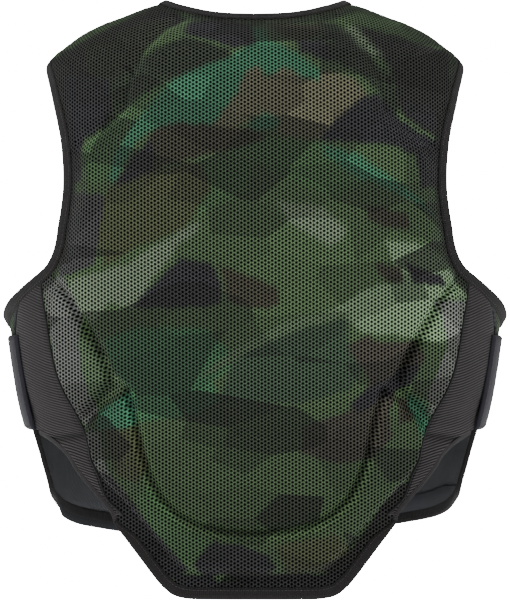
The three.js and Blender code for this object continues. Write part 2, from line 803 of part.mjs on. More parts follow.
// Flat tab that closes the wing over the front panel. Its lower part stands off the body.
function closingTab(name, place) {
  const middle = (tabTop + tabBottom) / 2;
  const grid = [];
  for (let r = 0; r <= steps.tabDown; r++) {
    const edgeDown = blend(tabBottom, tabTop, r / steps.tabDown);
    const row = [];
    for (let c = 0; c <= steps.tabAcross; c++) {
      const share = c / steps.tabAcross;
      const down = blend(edgeDown, middle, tabNarrowing * share);
      row.push({ turn: blend(spotAt(tabStart, edgeDown).turn, tabReach, share), down });
    }
    grid.push(row);
  }
  const stand = ({ down }) => tabGap + tabFlare * ease(clamp((down - tabTop) / (tabBottom - tabTop), 0, 1));
  const outer = (spot) => stand(spot) + tabWall;
  return clothWall(name, tabFabric, grid.map(place), outer, stand, true);
}

// Front panel from the zip to the side edge that lies under the wing
function frontPanel(name, place) {
  const shoulder = shoulderLine(side + shoulderGap, steps.frontShoulder);
  const neck = neckInner.slice(backNeckEdge.length - 1);
  const top = [...shoulder, ...neck.slice(1)];
  const edge = endAtZip(inset(frontEdge, (share) => -frontBindingWidth(share) - gap));
  edge[0] = frontEdge[0];
  const sideEdge = edge.slice(0, steps.frontSide + 1).reverse();
  const armhole = inset(armholeEdge, armholeBinding + 2 * gap, true);
  const left = [...sideEdge, ...armhole.slice(wingIndex + 1), top[0]];
  const hem = edge.slice(steps.frontSide);
  const zipLine = evenSteps(zipSpots(zipSide, hem[hem.length - 1], top[top.length - 1]), left.length - 1);
  const grid = patch(hem, top, left, zipLine, 0);
  return clothWall(name, meshFabric, grid.map(place), always(0), always(-frontWall));
}

// Spots up the front beside the zip, from one end to the other
function zipSpots(reach, foot, head) {
  const count = 16;
  return Array.from({ length: count + 1 }, (_, i) => {
    const down = blend(foot.down, head.down, i / count);
    return { turn: zipTurn(down, reach), down };
  });
}

function frontZip() {
  const shares = [-1, -coilWidth / zipWidth - 0.02, -coilWidth / zipWidth, 0];
  const across = [...shares, ...shares.slice(0, -1).reverse().map((share) => -share)];
  const [foot, head] = [frontEdge[frontEdge.length - 1].down, neckEdge[neckEdge.length - 1].down];
  const grid = Array.from({ length: steps.zip + 1 }, (_, r) => {
    const down = blend(foot, head, r / steps.zip);
    return across.map((share) => ({ turn: zipTurn(down, (-share * zipWidth) / 2), down }));
  });
  const outer = (spot) => (Math.abs(formPoint(spot).x) <= coilWidth / 2 + 0.01 ? coilProud : 0);
  return clothWall("front_zip", zipTape, grid, outer, always(-zipWall));
}

// Lifts the armhole binding off the body under the arm
const flareSpan = armholeDrop - sideSeamTop;
const underarmLift = ({ turn, down }) =>
  underarmFlare *
  ease(clamp((down - sideSeamTop + flareSpan) / (2 * flareSpan), 0, 1)) *
  ease(clamp(1.3 - Math.abs(Math.abs(turn) - side) / 30, 0, 1));

function sidePieces(word, sign) {
  const place = (line) => (sign > 0 ? line : line.map(mirrorSpot).reverse());
  const strip = (name, finish, edge, inner, low, high, options) =>
    band(`${name}_${word}`, finish, place(edge), place(inner), low, high, options);
  const frontInner = endAtZip(inset(frontEdge, (share) => -frontBindingWidth(share)));
  return [
    ribbedWing(`side_wing_${word}`, place),
    closingTab(`wing_tab_${word}`, place),
    frontPanel(`front_panel_${word}`, place),
    strip("armhole_binding", bindingTape, armholeEdge, inset(armholeEdge, armholeBinding, true),
      bindingProud - bindingWall, bindingProud, { closed: true, lift: underarmLift }),
    strip("wing_trim", bindingTape, trimEdge, inset(trimEdge, trimWidth),
      -wingWall - trimProud, trimProud),
    strip("side_piping", bindingTape, inset(pipingEdge, -pipingWidth / 2),
      inset(pipingEdge, pipingWidth / 2), -wingWall, pipingProud),
    strip("front_edge_binding", bindingTape, frontEdge.slice(1), frontInner.slice(1),
      -frontWall - bindingProud, -0.2),
  ];
}

const vest = new THREE.Group();
vest.add(paddedBack());
vest.add(...sidePieces("right", 1));
vest.add(...sidePieces("left", -1));
vest.add(frontZip());
vest.add(
  band("neck_binding", bindingTape, bothWays(neckEdge), bothWays(endAtZip(inset(neckEdge, neckBinding))),
    bindingProud - bindingWall, bindingProud),
);
vest.add(
  band("hem_binding", bindingTape, bothWays(tailEdge.slice().reverse()),
    bothWays(inset(tailEdge, hemBinding).reverse()), bindingProud - bindingWall, bindingProud),
);
export default vest;
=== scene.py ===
import bpy
import math
import mathutils
import numpy as np
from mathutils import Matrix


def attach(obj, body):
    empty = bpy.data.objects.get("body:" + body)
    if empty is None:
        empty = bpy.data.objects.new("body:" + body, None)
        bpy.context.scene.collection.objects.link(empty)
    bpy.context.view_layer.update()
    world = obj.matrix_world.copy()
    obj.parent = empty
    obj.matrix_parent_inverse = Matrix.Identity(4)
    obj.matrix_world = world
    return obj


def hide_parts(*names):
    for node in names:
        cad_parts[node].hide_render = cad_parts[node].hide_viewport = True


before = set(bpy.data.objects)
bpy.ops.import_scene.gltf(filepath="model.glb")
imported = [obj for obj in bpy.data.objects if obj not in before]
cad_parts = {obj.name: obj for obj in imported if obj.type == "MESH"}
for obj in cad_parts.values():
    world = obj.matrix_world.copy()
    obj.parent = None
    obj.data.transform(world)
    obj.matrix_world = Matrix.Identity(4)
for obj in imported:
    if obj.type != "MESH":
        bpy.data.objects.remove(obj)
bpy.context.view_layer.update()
mm = 0.001

# Driving sizes of the vest's form, in millimetres. The back faces -Y and the wearer's right is +X.
form = {
    "neckWidth": 162, "shoulderWidth": 382, "chestWidth": 452, "waistWidth": 380, "seatWidth": 368,
    "shoulderDrop": 62, "chestDrop": 285, "waistDrop": 450, "backLength": 540,
    "backDepth": 134, "frontDepth": 124,
}
squareness = 2.3

# Zones from the top down: distance down and width at the zone's top
zones = [
    (0, form["neckWidth"]),
    (form["shoulderDrop"], form["shoulderWidth"]),
    (form["chestDrop"], form["chestWidth"]),
    (form["waistDrop"], form["waistWidth"]),
    (form["backLength"], form["seatWidth"]),
]
# Sections in each zone: shares of its height, of its change of width, and of the back and front depths
zoneSections = [
    [(0, 0, 0.43, 0.44), (0.11, 0.14, 0.51, 0.5), (0.26, 0.34, 0.59, 0.57), (0.4, 0.55, 0.655, 0.63),
     (0.56, 0.72, 0.71, 0.68), (0.72, 0.84, 0.755, 0.72), (0.87, 0.95, 0.79, 0.75)],
    [(0, 0, 0.82, 0.775), (0.17, 0.14, 0.925, 0.87), (0.4, 0.24, 0.985, 0.95), (0.62, 0.42, 1, 0.99),
     (0.82, 0.7, 0.985, 1)],
    [(0, 0, 0.96, 0.99), (0.14, 0.06, 0.935, 0.97), (0.43, 0.31, 0.87, 0.91), (0.64, 0.56, 0.82, 0.87),
     (0.85, 0.83, 0.785, 0.85)],
    [(0, 0, 0.77, 0.83), (0.33, 0.5, 0.765, 0.83), (1, 1, 0.785, 0.83)],
]


# Distance down, half width, depth of the back and depth of the front, for each section
def formSections():
    rows = []
    for (top, topWidth), (bottom, bottomWidth), sections in zip(zones, zones[1:], zoneSections):
        for down, out, back, front in sections:
            width = topWidth + (bottomWidth - topWidth) * out
            deep = (back * form["backDepth"], front * form["frontDepth"])
            rows.append((top + (bottom - top) * down, width / 2, *deep))
    return np.array(rows)


# A smooth curve through the sections that never swings past them
def monotone(knots, values, at):
    slopes = np.diff(values) / np.diff(knots)
    product = slopes[:-1] * slopes[1:]
    total = slopes[:-1] + slopes[1:]
    middle = np.where(product > 0, 2 * product / np.where(total == 0, 1, total), 0)
    tangents = np.concatenate([slopes[:1], middle, slopes[-1:]])
    i = np.clip(np.searchsorted(knots, at, side="right") - 1, 0, len(knots) - 2)
    span = knots[i + 1] - knots[i]
    t = np.clip((at - knots[i]) / span, 0, 1)
    bend = tangents[i] * t * (1 - t) ** 2 - tangents[i + 1] * t * t * (1 - t)
    return values[i] + (values[i + 1] - values[i]) * t * t * (3 - 2 * t) + bend * span


formRows = formSections()
fineDown = np.arange(0, form["backLength"] + 1, 0.25)
fineRows = [monotone(formRows[:, 0], formRows[:, k], fineDown) for k in (1, 2, 3)]


def halfAt(down):
    return np.interp(down, fineDown, fineRows[0])


def backAt(down):
    return np.interp(down, fineDown, fineRows[1])


def frontAt(down):
    return np.interp(down, fineDown, fineRows[2])


# A spot on the form is a turn in degrees from the back's centre, and a distance down
def formPoint(turn, down):
    turn, down = np.broadcast_arrays(np.asarray(turn, float), np.asarray(down, float))
    sine, cosine = np.sin(np.radians(turn)), np.cos(np.radians(turn))
    deep = np.where(cosine > 0, backAt(down), frontAt(down))
    across = np.abs(sine / halfAt(down)) ** squareness
    along = np.abs(cosine / deep) ** squareness
    reach = (across + along) ** (-1 / squareness)
    return np.stack([reach * sine, -reach * cosine, -down], axis=-1)


def formSlopes(turn, down):
    step = 0.05
    byTurn = (formPoint(turn + step, down) - formPoint(turn - step, down)) / (2 * step)
    byDown = (formPoint(turn, down + step) - formPoint(turn, down - step)) / (2 * step)
    return byTurn, byDown


def unit(vectors):
    return vectors / np.linalg.norm(vectors, axis=-1, keepdims=True)


def formNormal(turn, down):
    byTurn, byDown = formSlopes(turn, down)
    return unit(np.cross(byDown, byTurn))


def raised(spots, height):
    spots = np.asarray(spots, float)
    normal = formNormal(spots[..., 0], spots[..., 1])
    return formPoint(spots[..., 0], spots[..., 1]) + normal * np.asarray(height)[..., None]


# The spots nearest to points in space, found from spots close to them
def locate(points, spots, rounds=6):
    turn, down = np.array(spots[..., 0], float), np.array(spots[..., 1], float)
    for _ in range(rounds):
        byTurn, byDown = formSlopes(turn, down)
        miss = points - formPoint(turn, down)
        tt, td, dd = (byTurn**2).sum(-1), (byTurn * byDown).sum(-1), (byDown**2).sum(-1)
        mt, md = (miss * byTurn).sum(-1), (miss * byDown).sum(-1)
        scale = tt * dd - td * td
        turn = turn + (dd * mt - td * md) / scale
        down = np.maximum(down + (tt * md - td * mt) / scale, 0)
    return np.stack([turn, down], axis=-1)


# A dense smooth line through the spots
def smoothLine(spots, density=24):
    p = np.array(spots, float)
    ends = [2 * p[0] - p[1], *p, 2 * p[-1] - p[-2]]
    line = []
    for i in range(len(p) - 1):
        p0, p1, p2, p3 = ends[i:i + 4]
        d0, d1, d2 = (max(np.linalg.norm(b - a), 1e-6) ** 0.5 for a, b in ((p0, p1), (p1, p2), (p2, p3)))
        m1 = ((p1 - p0) / d0 - (p2 - p0) / (d0 + d1) + (p2 - p1) / d1) * d1
        m2 = ((p2 - p1) / d1 - (p3 - p1) / (d1 + d2) + (p3 - p2) / d2) * d1
        u = np.linspace(0, 1, density, endpoint=False)[:, None]
        line.append(p1 + m1 * u + (3 * (p2 - p1) - 2 * m1 - m2) * u**2 + (2 * (p1 - p2) + m1 + m2) * u**3)
    line = np.vstack([*line, p[-1:]])
    line[:, 1] = np.maximum(line[:, 1], 0)
    return line


def lengthsOf(points):
    return np.concatenate([[0], np.cumsum(np.linalg.norm(np.diff(points, axis=0), axis=-1))])


def evenSteps(line, count):
    lengths = lengthsOf(formPoint(line[:, 0], line[:, 1]))
    at = np.linspace(0, lengths[-1], count + 1)
    return np.stack([np.interp(at, lengths, line[:, 0]), np.interp(at, lengths, line[:, 1])], axis=-1)


# A line moved sideways on the form
def inset(line, distance, closed=False):
    points = formPoint(line[:, 0], line[:, 1])
    if closed:
        along = np.roll(points, -1, axis=0) - np.roll(points, 1, axis=0)
    else:
        along = np.gradient(points, axis=0)
    sideways = unit(np.cross(along, formNormal(line[:, 0], line[:, 1])))
    return locate(points + sideways * np.reshape(distance, (-1, 1)), line)


def mirrored(spots):
    return spots * np.array([-1, 1])


# The spot at a share of the form's half width
def spotAt(wide, down, onFront=False):
    deep = frontAt(down) if onFront else backAt(down)
    inside = 1 - np.minimum(wide, 1) ** squareness
    turn = np.degrees(np.arctan2(wide * halfAt(down), deep * inside ** (1 / squareness)))
    return np.stack([180 - turn if onFront else turn, down + 0 * turn], axis=-1)


# Spots from rows of two shares: of the half width, and of the way from top to bottom
def spotsOf(rows, top, bottom, onFront=False):
    wide, share = np.array(rows, float).T
    return spotAt(wide, top + (bottom - top) * share, onFront)


# A grid of spots between four lines, as in the CAD
def patch(bottom, top, left, right, rounds):
    rows, columns = len(left) - 1, len(bottom) - 1
    low, high, start, end = (formPoint(line[:, 0], line[:, 1]) for line in (bottom, top, left, right))
    u = np.linspace(0, 1, columns + 1)[None, :, None]
    v = np.linspace(0, 1, rows + 1)[:, None, None]
    across = start[:, None] * (1 - u) + end[:, None] * u
    along = low[None] * (1 - v) + high[None] * v
    corners = (low[0] * (1 - u) + low[-1] * u) * (1 - v) + (high[0] * (1 - u) + high[-1] * u) * v
    blended = across + along - corners
    turn = np.degrees(np.arctan2(blended[..., 0], -blended[..., 1]))
    spots = np.stack([turn, np.maximum(-blended[..., 2], 0)], axis=-1)
    spots[0], spots[-1], spots[1:-1, 0], spots[1:-1, -1] = bottom, top, left[1:-1], right[1:-1]
    for _ in range(rounds):
        points = formPoint(spots[..., 0], spots[..., 1])
        middle = (points[:-2, 1:-1] + points[2:, 1:-1] + points[1:-1, :-2] + points[1:-1, 2:]) / 4
        spots[1:-1, 1:-1] = locate(middle, spots[1:-1, 1:-1], 2)
    return spots


# Distances round the form at each height, so that fabrics keep their scale
arcTurns = np.arange(0, 180.5, 0.5)
arcDowns = np.arange(0, form["backLength"] + 2, 1.0)
arcPoints = formPoint(arcTurns[None, :], arcDowns[:, None])
arcSteps = np.linalg.norm(np.diff(arcPoints, axis=1), axis=-1)
arcTable = np.concatenate([np.zeros((len(arcDowns), 1)), np.cumsum(arcSteps, axis=1)], axis=1)
profile = formPoint(45.0, arcDowns)
profileLength = lengthsOf(profile)


def arcOf(spots):
    turn, down = np.abs(spots[..., 0]) * 2, np.clip(spots[..., 1], 0, form["backLength"])
    i = np.clip(turn.astype(int), 0, len(arcTurns) - 2)
    j = np.clip(down.astype(int), 0, len(arcDowns) - 2)
    fi, fj = turn - i, down - j
    low = arcTable[j, i] * (1 - fi) + arcTable[j, i + 1] * fi
    high = arcTable[j + 1, i] * (1 - fi) + arcTable[j + 1, i + 1] * fi
    return np.sign(spots[..., 0]) * (low * (1 - fj) + high * fj)


def flatOf(spots):
    return np.stack([arcOf(spots), spots[..., 1]], axis=-1)


# The fabric's own coordinates in millimetres: distance from the centre, and distance up
def fabricOf(spots):
    return np.stack([arcOf(spots), -np.interp(spots[..., 1], arcDowns, profileLength)], axis=-1)


def distanceTo(points, line, closed=False):
    line = np.asarray(line, float)
    starts = line if closed else line[:-1]
    ends = np.roll(line, -1, axis=0) if closed else line[1:]
    best = np.full(points.shape[:-1], 1e9)
    for a, b in zip(starts, ends):
        along = b - a
        size = along @ along
        if size == 0:
            continue
        share = np.clip(((points - a) @ along) / size, 0, 1)
        best = np.minimum(best, np.linalg.norm(points - a - share[..., None] * along, axis=-1))
    return best


def isInside(points, outline):
    inside = np.zeros(points.shape[:-1], bool)
    outline = np.asarray(outline, float)
    for a, b in zip(outline, np.roll(outline, -1, axis=0)):
        if a[1] == b[1]:
            continue
        crosses = (a[1] > points[..., 1]) != (b[1] > points[..., 1])
        inside ^= crosses & (points[..., 0] < a[0] + (b[0] - a[0]) * (points[..., 1] - a[1]) / (b[1] - a[1]))
    return inside


def ease(share):
    share = np.clip(share, 0, 1)
    return share * share * (3 - 2 * share)


# Rounded rise from the edge of a pad to its flat top
def roll(points, outline, width):
    share = np.clip(distanceTo(points, outline, True) / width, 0, 1)
    return np.where(isInside(points, outline), np.sqrt(1 - (1 - share) ** 2), 0)


# Gives a piece its materials, hangs it under the root, and hides the CAD part that it stands in for
def finished(obj, node, materials):
    for material in materials:
        obj.data.materials.append(material)
    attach(obj, "root")
    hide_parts(node)
    return obj


# A mesh from points in millimetres, turned inside out where its faces point inwards
def newMesh(name, points, faces, fabric, colours=None, faceMaterials=None):
    points = np.asarray(points, float)
    p = points * mm
    volume = 0
    for f in faces:
        volume += np.dot(points[f[0]], np.cross(points[f[1]], points[f[2]]))
        if len(f) > 3:
            volume += np.dot(points[f[0]], np.cross(points[f[2]], points[f[3]]))
    if volume < 0:
        faces = [tuple(reversed(f)) for f in faces]
    mesh = bpy.data.meshes.new(name)
    mesh.from_pydata(p.tolist(), [], [tuple(int(i) for i in f) for f in faces])
    layer = mesh.uv_layers.new(name="fabric")
    index = np.empty(len(mesh.loops), int)
    mesh.loops.foreach_get("vertex_index", index)
    layer.data.foreach_set("uv", np.asarray(fabric, float)[index].ravel())
    # per-point colour: the print, or the wing's rib tone, with painted light and shade laid into it
    if colours is not None:
        attribute = mesh.attributes.new("dyeAndPaintedLight", "FLOAT_COLOR", "POINT")
        attribute.data.foreach_set("color", np.asarray(colours, float).ravel())
    if faceMaterials is not None:
        mesh.polygons.foreach_set("material_index", np.asarray(faceMaterials, int))
    mesh.polygons.foreach_set("use_smooth", [True] * len(mesh.polygons))
    mesh.update()
    obj = bpy.data.objects.new(name, mesh)
    bpy.context.scene.collection.objects.link(obj)
    return obj


# A cloth wall from an outer and an inner grid of points. Its inner face is drawn coarser.
def clothWall(name, outer, inner, fabric, colours=None, skip=4):
    rows, columns = outer.shape[0] - 1, outer.shape[1] - 1
    used = np.zeros(outer.shape[:2], bool)
    used[::skip, ::skip] = True
    used[0], used[-1], used[:, 0], used[:, -1] = True, True, True, True
    outerIndex = np.arange(outer.shape[0] * outer.shape[1]).reshape(outer.shape[:2])
    innerIndex = np.full(outer.shape[:2], -1)
    innerIndex[used] = outerIndex.size + np.arange(used.sum())
    points = np.vstack([outer.reshape(-1, 3), inner[used]])
    faces, kinds = [], []
    for r in range(rows):
        for c in range(columns):
            corners = ((r, c), (r, c + 1), (r + 1, c + 1), (r + 1, c))
            faces.append(tuple(outerIndex[corner] for corner in corners))
            kinds.append(0)
    for r in range(0, rows, skip):
        for c in range(0, columns, skip):
            r1, c1 = min(r + skip, rows), min(c + skip, columns)
            ring = [innerIndex[r, k] for k in range(c, c1)]
            ring += [innerIndex[k, c1] for k in range(r, r1)]
            ring += [innerIndex[r1, k] for k in range(c1, c, -1)]
            ring += [innerIndex[k, c] for k in range(r1, r, -1)]
            faces.append(tuple(k for k in reversed(ring) if k >= 0))
            kinds.append(1)
    rim = [(0, c) for c in range(columns)] + [(r, columns) for r in range(rows)]
    rim += [(rows, c) for c in range(columns, 0, -1)] + [(r, 0) for r in range(rows, 0, -1)]
    for a, b in zip(rim, rim[1:] + rim[:1]):
        faces.append((outerIndex[b], outerIndex[a], innerIndex[a], innerIndex[b]))
        kinds.append(1)
    flat = fabric.reshape(-1, 2)
    flat = np.vstack([flat, fabric[used]])
    dyeAndPaintedLight = None
    if colours is not None:
        dyeAndPaintedLight = np.vstack([colours.reshape(-1, 4), colours[used]])
    return newMesh(name, points, faces, flat, dyeAndPaintedLight, kinds)


# A solid swept along rings of points. fabric holds the length along and the distance across.
def sweep(name, rings, along, across, closed=False):
    count, sides = rings.shape[:2]
    points = rings.reshape(-1, 3)
    faces = []
    for i in range(count if closed else count - 1):
        n = (i + 1) % count
        for j in range(sides):
            k = (j + 1) % sides
            faces.append((i * sides + j, i * sides + k, n * sides + k, n * sides + j))
    if not closed:
        faces.append(tuple(range(sides - 1, -1, -1)))
        faces.append(tuple((count - 1) * sides + j for j in range(sides)))
    flat = np.stack(np.broadcast_arrays(np.asarray(along)[:, None], np.asarray(across)[None, :]), axis=-1)
    return newMesh(name, points, faces, flat.reshape(-1, 2))


# Colours as the eye sees them, turned into the shader's linear values
def linear(hexColour):
    values = [int(hexColour[i:i + 2], 16) / 255 for i in (1, 3, 5)]
    return [v / 12.92 if v <= 0.04045 else ((v + 0.055) / 1.055) ** 2.4 for v in values] + [1]


# Shader building
def material(name):
    made = bpy.data.materials.new(name)
    made.use_nodes = True
    tree = made.node_tree
    return made, tree, tree.nodes["Principled BSDF"]


def add(tree, kind, inputs=None, **settings):
    node = tree.nodes.new(kind)
    for key, value in settings.items():
        setattr(node, key, value)
    for key, value in (inputs or {}).items():
        if isinstance(value, bpy.types.NodeSocket):
            tree.links.new(value, node.inputs[key])
        else:
            node.inputs[key].default_value = value
    return node


def mathNode(tree, operation, a, b=0.0, c=0.0):
    return add(tree, "ShaderNodeMath", {0: a, 1: b, 2: c}, operation=operation).outputs[0]


def rangeNode(tree, value, low, high, toLow=0.0, toHigh=1.0, kind="SMOOTHSTEP"):
    inputs = {"Value": value, "From Min": low, "From Max": high, "To Min": toLow, "To Max": toHigh}
    return add(tree, "ShaderNodeMapRange", inputs, interpolation_type=kind).outputs[0]


def mixColour(tree, share, a, b, kind="MIX"):
    node = tree.nodes.new("ShaderNodeMix")
    node.data_type = "RGBA"
    node.blend_type = kind
    for socket, value in ((node.inputs[0], share), (node.inputs[6], a), (node.inputs[7], b)):
        if isinstance(value, bpy.types.NodeSocket):
            tree.links.new(value, socket)
        else:
            socket.default_value = value
    return node.outputs[2]


def bumpTo(tree, shader, height, distance, strength=1.0):
    node = add(tree, "ShaderNodeBump", {"Height": height, "Strength": strength, "Distance": distance})
    tree.links.new(node.outputs[0], shader.inputs["Normal"])


def noiseOf(tree, vector, scale, detail=2.0):
    inputs = {"Vector": vector, "Scale": scale, "Detail": detail}
    return add(tree, "ShaderNodeTexNoise", inputs).outputs["Fac"]


def vectorNode(tree, operation, inputs, output=0):
    return add(tree, "ShaderNodeVectorMath", inputs, operation=operation).outputs[output]


# Steps, edges and depth of the holes are in millimetres of the fabric, the bump's depth in metres
meshLook = {
    # the knots, where three strands meet, are lightened as a painted highlight
    "columnStep": 2.97, "holeStep": 3.43, "holeEdge": (0.7, 1.28), "strandTop": 1.75, "knotHighlightEdge": (1.35, 1.9),
    # the holes' near black is partly the dark backing seen through them and partly painted shade inside the
    # holes
    "hole": linear("#020202"), "knotHighlight": linear("#23261f"), "knotHighlightGain": (2.3, 2.3, 2.25, 1),
    # lean is the way painted light falls on the strands: lighter on that side of each hole, darker as painted
    # shade on the other
    "lean": (-0.5, 0.866, 0), "leanReach": 1.2, "leanShade": 0.72, "leanHighlight": 1.3,
    "fibreScale": 1.4, "fibreDark": linear("#9c9c9c"), "fibreLight": linear("#dadada"), "fibreHeight": 0.12,
    "splinterScale": 0.0352, "splinterTurn": -0.55, "splinterStretch": 0.45,
    "splinterDark": linear("#757575"), "splinterLight": linear("#ffffff"),
    "roughness": 0.66, "shine": 0.3, "sheen": 0.04, "sheenRoughness": 0.45, "depth": 0.0009,
}


# Perforated mesh, coloured by its per-point colour: the print with painted light and shade laid into it, and
# painted light on the strands and knots
def makeMeshFabric():
    look = meshLook
    made, tree, shader = material("mesh_fabric")
    fabric = add(tree, "ShaderNodeUVMap", uv_map="fabric").outputs[0]
    half = (look["columnStep"], look["holeStep"] / 2, 1.0)
    minus = tuple(-v for v in half)
    distances, leaning = [], []
    # the holes stand in two grids, the second one moved by half a step both ways
    for offset in ((0, 0, 0), (half[0], half[1], 0)):
        moved = vectorNode(tree, "ADD", {0: fabric, 1: offset})
        wrapped = vectorNode(tree, "WRAP", {0: moved, 1: half, 2: minus})
        distances.append(vectorNode(tree, "LENGTH", {0: wrapped}, "Value"))
        leaning.append(vectorNode(tree, "DOT_PRODUCT", {0: wrapped, 1: look["lean"]}, "Value"))
    away = mathNode(tree, "MINIMUM", distances[0], distances[1])
    nearer = mathNode(tree, "LESS_THAN", distances[0], distances[1])
    side = mathNode(tree, "ADD", mathNode(tree, "MULTIPLY", nearer, leaning[0]),
                    mathNode(tree, "MULTIPLY", mathNode(tree, "SUBTRACT", 1.0, nearer), leaning[1]))
    # painted light and shade: each strand is lighter where it lies towards lean from its hole and darker on
    # the hole's other side
    reach = look["leanReach"]
    facing = rangeNode(tree, side, -reach, reach, look["leanShade"], look["leanHighlight"], "LINEAR")
    strand = rangeNode(tree, away, *look["holeEdge"])
    dyeAndPaintedLight = add(tree, "ShaderNodeAttribute", attribute_name="dyeAndPaintedLight").outputs["Color"]
    fibres = noiseOf(tree, fabric, look["fibreScale"], 3.0)
    fibreTone = mixColour(tree, fibres, look["fibreDark"], look["fibreLight"])
    dyeAndPaintedLight = mixColour(tree, 1.0, dyeAndPaintedLight, fibreTone, "MULTIPLY")
    lie = {"Rotation": (0, 0, look["splinterTurn"]), "Scale": (look["splinterStretch"], 1.0, 1.0)}
    splinters = add(tree, "ShaderNodeMapping", {0: fabric, **lie}).outputs[0]
    cells = add(tree, "ShaderNodeTexVoronoi", {"Vector": splinters, "Scale": look["splinterScale"]})
    tone = add(tree, "ShaderNodeSeparateColor", {0: cells.outputs["Color"]}).outputs[0]
    splinterTone = mixColour(tree, tone, look["splinterDark"], look["splinterLight"])
    dyeAndPaintedLight = mixColour(tree, 1.0, dyeAndPaintedLight, splinterTone, "MULTIPLY")
    # painted highlight: the strands are lightened towards the knots between three holes
    knotHighlight = mixColour(tree, 1.0, mixColour(tree, 1.0, dyeAndPaintedLight, look["knotHighlightGain"], "MULTIPLY"), look["knotHighlight"], "ADD")
    lit = mixColour(tree, rangeNode(tree, away, *look["knotHighlightEdge"]), dyeAndPaintedLight, knotHighlight)
    shaded = vectorNode(tree, "SCALE", {0: lit, "Scale": facing})
    # the holes get their near black: the dark backing, with painted shade inside them
    base = mixColour(tree, strand, look["hole"], shaded)
    tree.links.new(base, shader.inputs["Base Color"])
    shader.inputs["Roughness"].default_value = look["roughness"]
    tree.links.new(mathNode(tree, "MULTIPLY", strand, look["shine"]), shader.inputs["Specular IOR Level"])
    tree.links.new(mathNode(tree, "MULTIPLY", strand, look["sheen"]), shader.inputs["Sheen Weight"])
    shader.inputs["Sheen Roughness"].default_value = look["sheenRoughness"]
    top = rangeNode(tree, away, look["holeEdge"][0], look["strandTop"])
    fuzz = mathNode(tree, "MULTIPLY", fibres, look["fibreHeight"])
    bumpTo(tree, shader, mathNode(tree, "ADD", top, fuzz), look["depth"])
    return made


# Tape or ribbed cloth: lines across the length, with a fine thread over them. Its colour is painted shade in
# the rib valleys and a painted highlight on the crests, with some grain.
def makeRibbed(name, dark, light, pitch, depth, roughness, sheen, axis=0, cross=0.6, dyed=False):
    made, tree, shader = material(name)
    fabric = add(tree, "ShaderNodeUVMap", uv_map="fabric").outputs[0]
    parts = add(tree, "ShaderNodeSeparateXYZ", {0: fabric})
    wobble = noiseOf(tree, fabric, 0.15, 2.0)
    along = mathNode(tree, "ADD", parts.outputs[axis], mathNode(tree, "MULTIPLY", wobble, pitch * 0.5))
    wave = mathNode(tree, "SINE", mathNode(tree, "MULTIPLY", along, 2 * math.pi / pitch))
    rib = mathNode(tree, "MULTIPLY_ADD", wave, 0.5, 0.5)
    thread = mathNode(tree, "SINE", mathNode(tree, "MULTIPLY", parts.outputs[1 - axis], 2 * math.pi / cross))
    grain = noiseOf(tree, fabric, 1.8, 4.0)
    height = mathNode(tree, "ADD", rib, mathNode(tree, "MULTIPLY", thread, 0.12))
    height = mathNode(tree, "ADD", height, mathNode(tree, "MULTIPLY", grain, 0.35))
    # painted shade and highlight: the tone follows the ribs' height, with some grain
    tone = mathNode(tree, "MULTIPLY", mathNode(tree, "ADD", rib, grain), 0.5)
    colour = mixColour(tree, tone, linear(dark), linear(light))
    # on the wing the per-point colour holds painted shade in the rib valleys and a painted highlight on the
    # crests
    if dyed:
        dyeAndPaintedLight = add(tree, "ShaderNodeAttribute", attribute_name="dyeAndPaintedLight").outputs["Color"]
        colour = mixColour(tree, 1.0, colour, dyeAndPaintedLight, "MULTIPLY")
    tree.links.new(colour, shader.inputs["Base Color"])
    shader.inputs["Roughness"].default_value = roughness
    shader.inputs["Specular IOR Level"].default_value = 0.2
    shader.inputs["Sheen Weight"].default_value = sheen
    shader.inputs["Sheen Roughness"].default_value = 0.5
    bumpTo(tree, shader, height, depth)
    return made


# Smooth cloth with a fine twill line
def makeTwill(name, dark, light, pitch, depth, roughness, sheen):
    made, tree, shader = material(name)
    fabric = add(tree, "ShaderNodeUVMap", uv_map="fabric").outputs[0]
    parts = add(tree, "ShaderNodeSeparateXYZ", {0: fabric})
    slant = mathNode(tree, "ADD", parts.outputs[0], mathNode(tree, "MULTIPLY", parts.outputs[1], 0.8))
    wave = mathNode(tree, "SINE", mathNode(tree, "MULTIPLY", slant, 2 * math.pi / pitch))
    wave = mathNode(tree, "MULTIPLY_ADD", wave, 0.5, 0.5)
    cloud = noiseOf(tree, fabric, 0.05, 4.0)
    grain = noiseOf(tree, fabric, 2.5, 2.0)
    tone = mathNode(tree, "MULTIPLY", mathNode(tree, "ADD", wave, mathNode(tree, "ADD", cloud, grain)), 0.34)
    tree.links.new(mixColour(tree, tone, linear(dark), linear(light)), shader.inputs["Base Color"])
    shader.inputs["Roughness"].default_value = roughness
    shader.inputs["Specular IOR Level"].default_value = 0.12
    shader.inputs["Sheen Weight"].default_value = sheen
    bumpTo(tree, shader, mathNode(tree, "ADD", wave, grain), depth)
    return made


